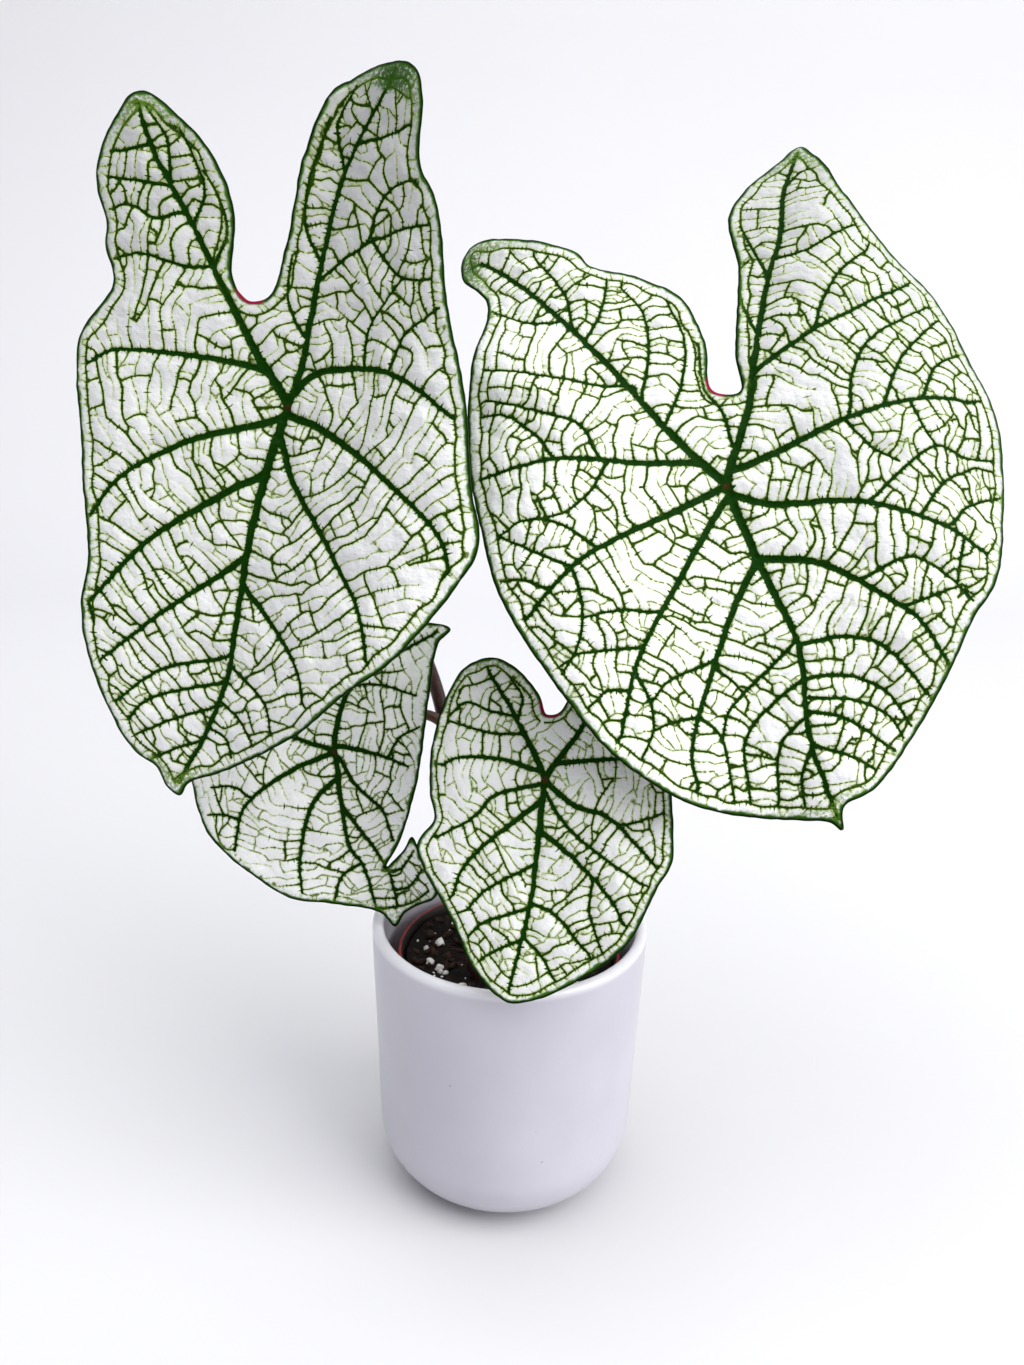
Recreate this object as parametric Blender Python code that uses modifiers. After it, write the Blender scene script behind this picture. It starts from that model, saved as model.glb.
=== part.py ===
"""Caladium with white, green-netted leaves in its nursery pot, stood in a round-bottomed glazed pot.

Lengths are in millimetres up to the last step, where MM turns them into metres. The origin is the
middle of the pot's foot, +Z is up and -Y is the front. Each leaf blade is drawn flat in its own
frame (x to the right, y towards the lobes, the stalk's joint at 0, 0), then raised to its form.
"""
import math
import random

import bmesh
import bpy
from mathutils import Matrix, Vector, noise
from mathutils.geometry import delaunay_2d_cdt

MM = 0.001
CLEAR = 0.32            # gap kept between pieces that touch

# Glazed outer pot
POT_HEIGHT = 132.0
POT_RADIUS = 62.5       # at the lip
POT_LOW_RADIUS = 59.5   # above the round corner
POT_CORNER = 32.0       # radius of the round corner outside
POT_WALL = 5.2
POT_FLOOR = 9.0
POT_STEPS = 56

# Plastic nursery pot inside it
NURSERY_TOP = 116.0
NURSERY_RADIUS = 49.6   # under the rim
NURSERY_BASE_RADIUS = 38.0
NURSERY_RIM = 51.0
NURSERY_WALL = 1.3
DRAIN_HOLES = 5
DRAIN_RADIUS = 4.0
DRAIN_RING = 25.0

# Soil and the tuber that the stalks grow from
SOIL_TOP = 108.0
SOIL_LUMP = 2.2
PERLITE_BUMPS = 46
TUBER = Vector((22.0, 22.0, 12.0))
TUBER_HEIGHT = 70.0

# Blades
BLADE = 0.8             # thickness of the tissue
RIB_DEPTH = 2.6         # thickness over the strongest rib
PUCKER = 1.1            # how far the tissue swells between ribs
MARGIN_VEIN = 5.0       # distance of the vein that runs round the edge

PART = "Caladium"


# Every leaf: joint of the stalk, how far the face is turned to the left, tipped up and rolled (degrees),
# its form, its outline from the notch between the lobes round the left side, and its ribs as
# (width at the foot, points).
LEAVES = [
    dict(
        name="leaf_left", joint=(-91.6, -8.0, 358.4), turn=14, tip_up=19, roll=-9, reach=140, edge_step=7.5,
        keel=0.26, side=50, side_left=4, side_right=14, lobes=10, lobe_left=12, lobe_right=12, tip=-9,
        waves=[(3.0, 5, 0.6)],
        outline=[(-24, 36), (-31, 42), (-34, 66), (-44, 83), (-57, 92), (-71, 97), (-82, 85), (-87, 65),
                 (-81, 50), (-80, 41), (-75, 30), (-85, 5), (-76, -29), (-63, -77), (-63, -95), (-57, -117),
                 (-38, -149), (-28, -154), (-24, -161), (-18, -164), (-14, -157), (-1, -149), (36, -121),
                 (53, -101), (69, -84), (86, -50), (90, -34), (82, -12), (73, 17), (59, 47), (48, 80),
                 (39, 92), (38, 110), (33, 120), (13, 123), (-3, 118), (-12, 95), (-14, 60), (-17, 39)],
        ribs=[
            (5.4, [(0, 0), (-2, -25), (-3, -60), (-2, -101), (-4, -117), (-9, -135), (-18, -158)]),
            (5.4, [(0, 0), (-20, 21), (-49, 58), (-66, 80), (-72, 93)]),
            (4.8, [(0, 0), (2, 15), (1, 47), (3, 84), (10, 101), (24, 120)]),
            (4.0, [(-11, 11), (-20, 12), (-47, 9), (-71, 4), (-78, -2)]),
            (4.6, [(-1, -4), (-37, -24), (-57, -43), (-65, -60)]),
            (4.6, [(-3, -27), (-15, -37), (-41, -63), (-60, -93)]),
            (3.6, [(-5, -62), (-29, -87), (-53, -115)]),
            (2.0, [(-3, -100), (-30, -113), (-45, -130)]),
            (1.6, [(-5, -121), (-20, -130), (-34, -140)]),
            (4.6, [(2, 6), (8, 14), (32, 20), (48, 18), (71, 8)]),
            (4.6, [(2, -3), (15, -5), (50, -19), (77, -36), (82, -46)]),
            (4.2, [(1, -13), (9, -26), (34, -50), (53, -71), (59, -86)]),
            (3.6, [(-3, -70), (28, -95), (35, -109)]),
            (1.8, [(-1, -104), (17, -115), (22, -126)]),
            (2.0, [(-39, 44), (-47, 42), (-67, 42), (-76, 38)]),
            (1.6, [(-58, 68), (-69, 67), (-82, 66)]),
            (1.6, [(-48, 57), (-45, 70), (-56, 88)]),
            (2.2, [(2, 50), (13, 60), (34, 70), (45, 72)]),
            (1.6, [(23, 65), (38, 54), (50, 54)]),
            (1.6, [(30, 20), (28, 34), (38, 53)]),
            (1.4, [(-1, 58), (-8, 68), (-9, 86), (-5, 106)]),
        ]),
    dict(
        name="leaf_right", joint=(78.6, -20.0, 334.3), turn=4, tip_up=32, roll=14, reach=130, edge_step=7.5,
        keel=0.18, side=45, side_left=10, side_right=10, lobes=-8, lobe_left=0, lobe_right=0, tip=-12,
        waves=[(4.5, 8, 0.3), (2.0, 13, 1.2)],
        outline=[(4, 41), (6, 63), (1, 86), (-13, 98), (-32, 106), (-36, 113), (-56, 125), (-76, 134),
                 (-82, 131), (-84, 118), (-77, 104), (-77, 94), (-88, 68), (-96, 30), (-96, 5), (-94, -25),
                 (-84, -53), (-64, -93), (-38, -116), (-2, -128), (11, -132), (15, -136), (17, -128),
                 (30, -123), (50, -105), (64, -88), (78, -69), (89, -58), (101, -34), (108, -14), (109, 20),
                 (104, 56), (99, 72), (82, 94), (73, 114), (70, 135), (66, 148), (57, 144), (44, 138),
                 (30, 122), (27, 95), (16, 54), (14, 38)],
        ribs=[
            (5.2, [(0, 0), (5, -30), (9, -47), (13, -68), (10, -99), (14, -130)]),
            (5.4, [(0, 0), (-14, 21), (-37, 63), (-46, 78), (-65, 109), (-75, 122)]),
            (5.0, [(0, 0), (16, 31), (21, 46), (37, 86), (45, 101), (53, 124), (64, 144)]),
            (4.2, [(-9, 11), (-33, 15), (-65, 22), (-89, 22)]),
            (4.4, [(-4, -1), (-19, -6), (-53, -17), (-66, -23), (-85, -37)]),
            (4.0, [(-2, -6), (-39, -50), (-49, -64), (-59, -88)]),
            (4.2, [(5, -30), (-9, -50), (-34, -98), (-34, -111)]),
            (4.4, [(5, -30), (26, -37), (47, -55), (56, -64), (65, -84)]),
            (4.6, [(7, 6), (21, 9), (53, 16), (83, 18), (99, 15)]),
            (4.4, [(3, -5), (15, -11), (43, -17), (74, -33), (88, -46)]),
            (2.0, [(14, -66), (27, -66), (41, -71), (57, -95)]),
            (2.0, [(13, -79), (29, -81), (41, -89), (48, -103)]),
            (1.6, [(12, -91), (24, -96), (40, -111)]),
            (2.0, [(13, -63), (-17, -85), (-21, -94)]),
            (1.8, [(12, -79), (-12, -95), (-15, -118)]),
            (2.2, [(-26, 47), (-39, 50), (-82, 65)]),
            (1.8, [(-45, 78), (-45, 93), (-54, 116)]),
            (1.8, [(-24, 43), (-17, 63), (-16, 82), (-22, 94)]),
            (1.6, [(-16, 32), (-7, 47), (-2, 66), (-5, 85)]),
            (3.0, [(20, 43), (46, 55), (62, 60), (90, 71)]),
            (2.2, [(41, 92), (51, 91), (72, 97)]),
            (2.0, [(50, 16), (56, 33), (66, 46), (95, 60)]),
            (1.6, [(64, 18), (76, 36), (97, 53)]),
            (1.8, [(51, -18), (80, -2), (104, -9)]),
            (1.8, [(41, -47), (60, -43), (79, -63)]),
            (1.6, [(-63, 22), (-68, 33), (-86, 47)]),
            (1.6, [(-65, -23), (-64, -39), (-69, -53), (-76, -61)]),
        ]),
    dict(
        name="leaf_front", joint=(12.4, -40.0, 218.1), turn=14, tip_up=30, roll=5, reach=75, edge_step=6.5,
        keel=0.18, side=20, side_left=6, side_right=8, lobes=4, lobe_left=0, lobe_right=0, tip=-14,
        waves=[(2.2, 7, 0.4)],
        outline=[(-1, 27), (-4, 34), (-15, 46), (-26, 49), (-35, 45), (-40, 38), (-46, 18), (-47, -6),
                 (-44, -18), (-50, -27), (-49, -34), (-36, -56), (-25, -77), (-11, -88), (0, -86), (9, -82),
                 (35, -63), (47, -40), (52, -30), (51, -4), (50, 25), (43, 39), (33, 47), (20, 48), (12, 43),
                 (5, 28)],
        ribs=[
            (4.0, [(0, 0), (-2, -34), (-3, -46), (-11, -84)]),
            (4.2, [(0, 0), (-12, 23), (-25, 43)]),
            (4.2, [(0, 0), (13, 19), (27, 41)]),
            (3.0, [(-5, 4), (-15, 7), (-36, 7), (-42, 4)]),
            (2.6, [(-3, -2), (-21, -8), (-27, -16), (-42, -25)]),
            (3.4, [(-2, -9), (-30, -35), (-35, -48)]),
            (2.0, [(-2, -33), (-22, -45), (-29, -53)]),
            (2.0, [(-3, -50), (-23, -58), (-28, -63)]),
            (3.2, [(7, 7), (32, 9), (44, 7)]),
            (3.6, [(2, -2), (13, -10), (26, -14), (46, -32)]),
            (1.8, [(1, -6), (8, -16), (18, -25), (40, -39)]),
            (3.2, [(0, -21), (10, -28), (29, -46), (34, -55)]),
            (2.0, [(-3, -49), (5, -52), (20, -67)]),
            (1.8, [(-14, 25), (-24, 27), (-34, 30), (-41, 24)]),
        ]),
    dict(
        name="leaf_back", joint=(-80.0, 12.0, 206.0), turn=10, tip_up=20, roll=28, reach=85, edge_step=6.5,
        keel=0.22, side=20, side_left=5, side_right=12, lobes=5, lobe_left=0, lobe_right=0, tip=-12,
        waves=[(2.5, 6, 0.9)],
        outline=[(51, 38), (62, 36), (69, 30), (62, 26), (49, 4), (28, -30), (10, -49), (0, -56), (11, -52),
                 (18, -48), (18, -57), (18, -67), (17, -76), (0, -78), (-7, -82), (-10, -74), (-28, -61),
                 (-41, -54), (-50, -45), (-65, -17), (-67, -6), (-64, 18), (-52, 45), (-39, 56), (-24, 60),
                 (-11, 57), (0, 47), (11, 25), (19, 31), (30, 36)],
        ribs=[
            (3.4, [(0, 0), (-10, -42), (-8, -50), (-11, -73)]),
            (4.0, [(0, 0), (5, 9), (19, 23), (63, 31)]),
            (3.4, [(0, 0), (-16, 15), (-23, 29), (-27, 44)]),
            (3.6, [(-3, 0), (-19, 0), (-46, -7), (-58, -23)]),
            (3.4, [(-6, -12), (-17, -17), (-33, -39), (-37, -52)]),
            (1.8, [(-8, -50), (-18, -52), (-26, -61)]),
            (3.4, [(4, 1), (21, -11), (29, -19)]),
            (3.0, [(1, -4), (3, -17), (10, -32), (9, -46)]),
            (2.6, [(-6, -24), (-1, -44), (1, -58), (-2, -73)]),
            (1.8, [(17, 23), (30, 20), (45, 8)]),
        ]),
]

# Stalks: leaf they carry, direction in which they leave the tuber, places they pass above the soil
# and their radius at the foot and at the blade.
STALKS = [
    dict(name="petiole_left", leaf=0, out=(-0.25, 0.18, 0.95), radius=(3.7, 2.5),
         route=[(-25, 19, 165), (-34, 25, 226), (-49, 36, 263), (-68, 40, 312), (-80, 33, 340)]),
    dict(name="petiole_right", leaf=1, out=(0.24, 0.20, 0.95), radius=(3.6, 2.5),
         route=[(29, 21, 165), (50, 27, 228), (69, 28, 280), (79, 18, 309)]),
    dict(name="petiole_front", leaf=2, out=(0.20, -0.22, 0.955), radius=(3.0, 2.1),
         route=[(19, -13, 150), (23, -7, 180), (21, -9, 198)]),
    dict(name="petiole_back", leaf=3, out=(-0.22, -0.20, 0.955), radius=(3.0, 2.1),
         route=[(-17, -6, 160), (-21, 8, 204), (-35, 15, 222), (-52, 22, 221), (-66, 28, 214),
                (-76, 27, 205)]),
]

COLOURS = {
    "glaze": ((0.66, 0.65, 0.71), 0.35),
    "plastic": ((0.20, 0.035, 0.025), 0.45),
    "soil": ((0.016, 0.012, 0.010), 0.95),
    "tuber": ((0.14, 0.075, 0.035), 0.8),
    "leaf": ((0.62, 0.66, 0.58), 0.45),
    "petiole": ((0.045, 0.008, 0.010), 0.4),
}


def clear_scene():
    for obj in list(bpy.data.objects):
        bpy.data.objects.remove(obj, do_unlink=True)


def collection(name, hidden=False):
    group = bpy.data.collections.new(name)
    bpy.context.scene.collection.children.link(group)
    group.hide_render = hidden
    return group


def material(slot):
    colour, rough = COLOURS[slot]
    mat = bpy.data.materials.get(slot) or bpy.data.materials.new(slot)
    mat.use_nodes = True
    shader = mat.node_tree.nodes["Principled BSDF"]
    shader.inputs["Base Color"].default_value = (*colour, 1.0)
    shader.inputs["Roughness"].default_value = rough
    shader.inputs["Metallic"].default_value = 0.0
    mat.diffuse_color = (*colour, 1.0)
    return mat


def add_object(name, data, group, slot):
    obj = bpy.data.objects.new(name, data)
    group.objects.link(obj)
    if slot:
        data.materials.append(material(slot))
    return obj


def make_cutter(obj):
    obj.hide_render = True
    obj.display_type = "WIRE"
    return obj


def cut(target, cutter, name):
    boolean = target.modifiers.new(name, "BOOLEAN")
    boolean.operation = "DIFFERENCE"
    boolean.solver = "EXACT"
    boolean.object = cutter


def through(points, closed=False, count=12):
    """Points on a smooth curve (centripetal Catmull-Rom) through the given ones."""
    given = [Vector(p) for p in points]
    last = len(given) - 1
    spans = last + 1 if closed else last
    curve = []
    for i in range(spans):
        p1 = given[i]
        p2 = given[(i + 1) % len(given)]
        p0 = given[i - 1] if closed or i > 0 else 2 * p1 - p2
        p3 = given[(i + 2) % len(given)] if closed or i + 2 <= last else 2 * p2 - p1
        t1 = math.sqrt((p1 - p0).length)
        t2 = t1 + math.sqrt((p2 - p1).length)
        t3 = t2 + math.sqrt((p3 - p2).length)
        for j in range(count):
            t = t1 + (t2 - t1) * j / count
            a1 = p0.lerp(p1, t / t1)
            a2 = p1.lerp(p2, (t - t1) / (t2 - t1))
            a3 = p2.lerp(p3, (t - t2) / (t3 - t2))
            b1 = a1.lerp(a2, t / t2)
            b2 = a2.lerp(a3, (t - t1) / (t3 - t1))
            curve.append(b1.lerp(b2, (t - t1) / (t2 - t1)))
    if not closed:
        curve.append(given[-1])
    return curve


def evenly(curve, step, closed=False):
    """The curve's points redrawn about one step apart."""
    line = curve + [curve[0]] if closed else curve
    lengths = [0.0]
    for a, b in zip(line, line[1:]):
        lengths.append(lengths[-1] + (b - a).length)
    count = max(2, round(lengths[-1] / step))
    points = []
    k = 0
    for i in range(count + 1):
        want = lengths[-1] * i / count
        while k < len(line) - 2 and lengths[k + 1] < want:
            k += 1
        share = (want - lengths[k]) / max(lengths[k + 1] - lengths[k], 1e-9)
        points.append(line[k].lerp(line[k + 1], share))
    return points[:-1] if closed else points


def leaf_frame(leaf):
    """Matrix of the blade's frame, in millimetres: x right, y towards the lobes, z out of the face."""
    turn, rise, roll = (math.radians(leaf[k]) for k in ("turn", "tip_up", "roll"))
    face = Vector((-math.sin(turn) * math.cos(rise), -math.cos(turn) * math.cos(rise), math.sin(rise)))
    right = Vector((0, 0, 1)).cross(face).normalized()
    up = face.cross(right)
    x_axis = right * math.cos(roll) + up * math.sin(roll)
    y_axis = up * math.cos(roll) - right * math.sin(roll)
    rows = Matrix((x_axis, y_axis, face)).transposed().to_4x4()
    return Matrix.Translation(leaf["joint"]) @ rows


def form(leaf, x, y):
    """Height of the blade over its frame: fold along the midrib, fallen sides, lobes, tip and waves."""
    height = leaf["keel"] * (math.sqrt(x * x + 100) - 10)
    fallen = leaf["side_left"] if x < 0 else leaf["side_right"]
    height -= fallen * (max(0.0, abs(x) - leaf["side"]) / 40) ** 2
    lobe = leaf["lobe_left"] if x < 0 else leaf["lobe_right"]
    up = (max(0.0, y) / 100) ** 2
    down = (max(0.0, -y) / 100) ** 2
    height += (leaf["lobes"] + lobe * min(1.0, abs(x) / 40)) * up + leaf["tip"] * down
    angle = math.atan2(y, x)
    swell = (math.hypot(x, y) / leaf["reach"]) ** 3
    for size, count, phase in leaf["waves"]:
        height += size * swell * math.sin(count * angle + phase)
    return height


def distance_to(point, line):
    """Shortest distance from a point to a run of points, and how far along the run it is, 0 to 1."""
    best = 1e9
    along = 0.0
    for i in range(len(line) - 1):
        a = line[i]
        span = line[i + 1] - a
        share = (point - a).dot(span) / max(span.length_squared, 1e-9)
        share = min(1.0, max(0.0, share))
        gap = (point - a - share * span).length
        if gap < best:
            best = gap
            along = (i + share) / (len(line) - 1)
    return best, along


def inside(point, loop):
    """Whether a flat point lies inside a closed loop."""
    odd = False
    for a, b in zip(loop, loop[1:] + loop[:1]):
        if (a.y > point.y) != (b.y > point.y):
            if point.x < a.x + (point.y - a.y) / (b.y - a.y) * (b.x - a.x):
                odd = not odd
    return odd


def edge_vein(edge):
    """Runs of the vein that follows the outline a little way in."""
    runs = [[]]
    count = len(edge)
    for i in range(count):
        ahead = (edge[(i + 1) % count] - edge[i - 1]).normalized()
        point = edge[i] + Vector((-ahead.y, ahead.x)) * MARGIN_VEIN
        gap = min((point - other).length for other in edge)
        if inside(point, edge) and gap > MARGIN_VEIN * 0.93:
            runs[-1].append(point)
        elif runs[-1]:
            runs.append([])
    return [run for run in runs if len(run) > 2]


def blade(leaf, group):
    """A leaf blade: thin, folded and waved, swollen between its ribs, with the ribs raised below."""
    edge = evenly(through(leaf["outline"], closed=True), leaf["edge_step"], closed=True)
    rib_step = leaf["edge_step"]
    ribs = [(width, evenly(through(points), rib_step)) for width, points in leaf["ribs"]]
    ribs += [(1.4, run) for run in edge_vein(edge)]

    points = [p.copy() for p in edge]
    edges = [(i, (i + 1) % len(edge)) for i in range(len(edge))]
    near_edge = 0.42 * MARGIN_VEIN
    for width, line in ribs:
        kept = [p for p in line if inside(p, edge) and min((p - q).length for q in edge) > near_edge]
        first = len(points)
        points += kept
        edges += [(i, i + 1) for i in range(first, len(points) - 1)]
    step = leaf["edge_step"] * 1.3
    left = min(p.x for p in edge)
    low = min(p.y for p in edge)
    rows = int((max(p.y for p in edge) - low) / (step * 0.866)) + 1
    columns = int((max(p.x for p in edge) - left) / step) + 1
    taken = list(points)
    for row in range(rows):
        for column in range(columns):
            spot = Vector((left + (column + 0.5 * (row % 2)) * step, low + row * step * 0.866))
            if inside(spot, edge) and min((spot - q).length for q in taken) > step * 0.62:
                points.append(spot)

    flat, _, faces, *_ = delaunay_2d_cdt(points, edges, [], 1, 1e-4)
    mesh = bpy.data.meshes.new(leaf["name"])
    strengths = []
    shape = []
    for p in flat:
        nearest = 1e9
        strength = 0.0
        for width, line in ribs:
            gap, along = distance_to(p, line)
            nearest = min(nearest, gap)
            if gap < 0.6 + width * 0.25:
                strength = max(strength, width / 5.4 * (1 - 0.5 * along))
        rim = min((p - q).length for q in edge)
        swell = PUCKER * min(1.0, nearest / 5.0) * min(1.0, rim / MARGIN_VEIN)
        shape.append((p.x, p.y, form(leaf, p.x, p.y) + swell))
        strengths.append(strength)
    frame = leaf_frame(leaf)
    mesh.from_pydata([frame @ Vector(p) * MM for p in shape], [], faces)
    mesh.shade_smooth()
    obj = add_object(leaf["name"], mesh, group, "leaf")
    weights = obj.vertex_groups.new(name="ribs")
    for i, strength in enumerate(strengths):
        weights.add([i], strength, "REPLACE")
    solid = obj.modifiers.new("thickness", "SOLIDIFY")
    solid.thickness = RIB_DEPTH * MM
    solid.offset = -1.0
    solid.vertex_group = "ribs"
    solid.thickness_vertex_group = BLADE / RIB_DEPTH
    return obj


def tube(name, points, radii, group, slot):
    """A round tube along points, its radius going evenly from the first value to the second."""
    curve = bpy.data.curves.new(name, "CURVE")
    curve.dimensions = "3D"
    curve.bevel_depth = MM
    curve.bevel_resolution = 2
    curve.use_fill_caps = True
    spline = curve.splines.new("POLY")
    spline.points.add(len(points) - 1)
    for i, p in enumerate(points):
        share = i / (len(points) - 1)
        spline.points[i].co = (*(Vector(p) * MM), 1.0)
        spline.points[i].radius = radii[0] + (radii[1] - radii[0]) * share
    return add_object(name, curve, group, slot)


def tuber_point(out):
    """Point of the tuber's surface where it faces the given way."""
    n = Vector(out).normalized()
    stretched = Vector((n.x * TUBER.x ** 2, n.y * TUBER.y ** 2, n.z * TUBER.z ** 2))
    size = math.sqrt(sum((n[i] * TUBER[i]) ** 2 for i in range(3)))
    return stretched / size + Vector((0, 0, TUBER_HEIGHT)), n


def stalk_points(stalk):
    """Centre line of a stalk, from the tuber straight out of the soil and round to its blade's back."""
    foot, out = tuber_point(stalk["out"])
    foot = foot + out * CLEAR
    rise = (SOIL_TOP + 10 - foot.z) / out.z
    leaf = LEAVES[stalk["leaf"]]
    frame = leaf_frame(leaf)
    back = stalk["radius"][1] * leaf["keel"] * 0.2 + RIB_DEPTH + CLEAR
    end = frame @ Vector((0, 0, -back))
    before = frame @ Vector((0, 0, -back - 9))
    free = through([foot + out * rise, *stalk["route"], before, end])
    return [foot, foot + out * rise * 0.5] + evenly(free, 11.0)


def stalk(data, group, cutters):
    points = stalk_points(data)
    obj = tube(data["name"], points, data["radius"], group, "petiole")
    foot, out = tuber_point(data["out"])
    hole = tube("hole_" + data["name"], [foot - out * 3, *points[1:4]], (data["radius"][0] + CLEAR + 0.05,) * 2,
                cutters, None)
    return obj, to_mesh(hole, cutters)


def to_mesh(obj, group):
    """The same object as a closed mesh, in place of a curve or of a mesh with modifiers."""
    graph = bpy.context.evaluated_depsgraph_get()
    mesh = bpy.data.meshes.new_from_object(obj.evaluated_get(graph))
    tidy = bmesh.new()
    tidy.from_mesh(mesh)
    bmesh.ops.remove_doubles(tidy, verts=tidy.verts, dist=0.00002)
    tidy.to_mesh(mesh)
    tidy.free()
    name = obj.name
    place = obj.matrix_world.copy()
    bpy.data.objects.remove(obj, do_unlink=True)
    mesh.name = name
    new = bpy.data.objects.new(name, mesh)
    new.matrix_world = place
    group.objects.link(new)
    return new


def turned(name, profile, steps, group, slot):
    """A turned shape from a profile of (radius, height) pairs that goes round its outside downwards."""
    mesh = bpy.data.meshes.new(name)
    rows = [(r * MM, 0.0, z * MM) for r, z in profile]
    mesh.from_pydata(rows, [(i, i + 1) for i in range(len(rows) - 1)], [])
    obj = add_object(name, mesh, group, slot)
    screw = obj.modifiers.new("turn", "SCREW")
    screw.axis = "Z"
    screw.angle = math.tau
    screw.steps = steps
    screw.render_steps = steps
    screw.use_merge_vertices = True
    screw.merge_threshold = 0.00001
    screw.use_smooth_shade = True
    return obj


def arc(centre, radius, start, end, count):
    """Points (radius, height) on an arc, its angles in degrees from the outward direction."""
    points = []
    for i in range(count + 1):
        a = math.radians(start + (end - start) * i / count)
        points.append((centre[0] + radius * math.cos(a), centre[1] + radius * math.sin(a)))
    return points


def pot_corner():
    """Centre and radius of the round corner inside the glazed pot."""
    radius = POT_CORNER - POT_WALL
    return (POT_LOW_RADIUS - POT_WALL - radius, POT_FLOOR + radius), radius


def glazed_pot(group):
    centre, radius = pot_corner()
    lip = POT_WALL / 2
    inner = [(0.0, POT_FLOOR)] + arc(centre, radius, -90, 0, 7)
    rim = arc((POT_RADIUS - lip, POT_HEIGHT - lip), lip, 180, 0, 6)
    foot = arc((POT_LOW_RADIUS - POT_CORNER, POT_CORNER), POT_CORNER, 0, -90, 8)
    return turned("outer_pot", inner + rim + foot + [(0.0, 0.0)], POT_STEPS, group, "glaze")


def nursery_base():
    """Height at which the nursery pot's foot stands on the round corner inside the glazed pot."""
    centre, radius = pot_corner()
    beyond = NURSERY_BASE_RADIUS - centre[0]
    return centre[1] - math.sqrt(radius ** 2 - beyond ** 2) + CLEAR * 1.1


def nursery_pot(group, cutters):
    base = nursery_base()
    top = NURSERY_TOP
    wall = NURSERY_WALL
    profile = [
        (0.0, base + wall), (NURSERY_BASE_RADIUS - wall, base + wall), (NURSERY_RADIUS - wall, top - 4),
        (NURSERY_RADIUS - wall + 0.2, top - 1), (NURSERY_RADIUS + 0.2, top), (NURSERY_RIM - 0.4, top - 0.3),
        (NURSERY_RIM, top - 1.2), (NURSERY_RIM - 0.1, top - 6), (NURSERY_RADIUS - 0.3, top - 6.4),
        (NURSERY_BASE_RADIUS + 1.0, base + 8), (NURSERY_BASE_RADIUS, base), (0.0, base)]
    obj = turned("nursery_pot", profile, 48, group, "plastic")
    for i in range(DRAIN_HOLES):
        angle = math.tau * i / DRAIN_HOLES
        place = (DRAIN_RING * math.cos(angle) * MM, DRAIN_RING * math.sin(angle) * MM, (base + wall / 2) * MM)
        bpy.ops.mesh.primitive_cylinder_add(vertices=12, radius=DRAIN_RADIUS * MM, depth=4 * wall * MM,
                                            location=place)
        drill = make_cutter(bpy.context.object)
        drill.name = f"drain_{i + 1}"
        for owner in list(drill.users_collection):
            owner.objects.unlink(drill)
        cutters.objects.link(drill)
        cut(obj, drill, drill.name)
    return obj


def soil_height(x, y, bumps):
    """Lumps of the potting mix and the grains of perlite that stand out of it."""
    height = SOIL_LUMP * noise.noise(Vector((x, y, 3.7)) * 0.09) + 0.9 * noise.noise(Vector((x, y, 9.1)) * 0.3)
    for bx, by, radius in bumps:
        gap = math.hypot(x - bx, y - by) / radius
        if gap < 1.0:
            height += radius * 0.75 * math.sqrt(1.0 - gap * gap)
    return height


def perlite():
    """Places and radii of the perlite grains, clear of the stalks and of the soil's edge."""
    draw = random.Random(5)
    bumps = []
    while len(bumps) < PERLITE_BUMPS:
        angle = draw.uniform(0, math.tau)
        far = math.sqrt(draw.uniform(0.12, 1.0)) * (NURSERY_RADIUS - 7)
        radius = draw.uniform(2.0, 3.6)
        spot = (far * math.cos(angle), far * math.sin(angle), radius)
        if all(math.hypot(spot[0] - b[0], spot[1] - b[1]) > b[2] + radius for b in bumps):
            bumps.append(spot)
    return bumps


def soil(group, cutters, holes):
    base = nursery_base() + NURSERY_WALL + CLEAR
    slope = (NURSERY_RADIUS - NURSERY_BASE_RADIUS) / (NURSERY_TOP - 4 - nursery_base())
    low = NURSERY_BASE_RADIUS - NURSERY_WALL - CLEAR * 1.3
    edge = low + slope * (SOIL_TOP - base - CLEAR)
    rings = 14
    profile = [(edge * i / rings, SOIL_TOP) for i in range(rings + 1)] + [(low, base), (0.0, base)]
    rough = turned("soil", profile, 60, group, "soil")
    body = to_mesh(rough, group)
    bumps = perlite()
    for vertex in body.data.vertices:
        x, y, z = vertex.co / MM
        if z > SOIL_TOP - 0.5:
            fade = min(1.0, (edge - math.hypot(x, y)) / 3.0 + 0.25)
            vertex.co.z += soil_height(x, y, bumps) * fade * MM
    cavity = tuber_solid("tuber_room", cutters, None, CLEAR)
    cut(body, make_cutter(cavity), "tuber_room")
    for hole in holes:
        cut(body, make_cutter(hole), hole.name)
    return body


def tuber_solid(name, group, slot, extra):
    """The flat round tuber, or the room it takes when a clearance is added."""
    bpy.ops.mesh.primitive_uv_sphere_add(segments=20, ring_count=10, radius=1.0, location=(0, 0, 0))
    obj = bpy.context.object
    obj.name = name
    for vertex in obj.data.vertices:
        vertex.co = Vector([(TUBER[i] + extra) * MM * vertex.co[i] for i in range(3)])
    obj.location = (0, 0, TUBER_HEIGHT * MM)
    for owner in list(obj.users_collection):
        owner.objects.unlink(obj)
    group.objects.link(obj)
    obj.data.shade_smooth()
    if slot:
        obj.data.materials.append(material(slot))
    return obj


def main():
    clear_scene()
    parts = collection(PART)
    cutters = collection("cutters", hidden=True)
    glazed_pot(parts)
    nursery_pot(parts, cutters)
    tuber_solid("tuber", parts, "tuber", 0.0)
    holes = [stalk(data, parts, cutters)[1] for data in STALKS]
    soil(parts, cutters, holes)
    for leaf in LEAVES:
        blade(leaf, parts)


main()
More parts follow.
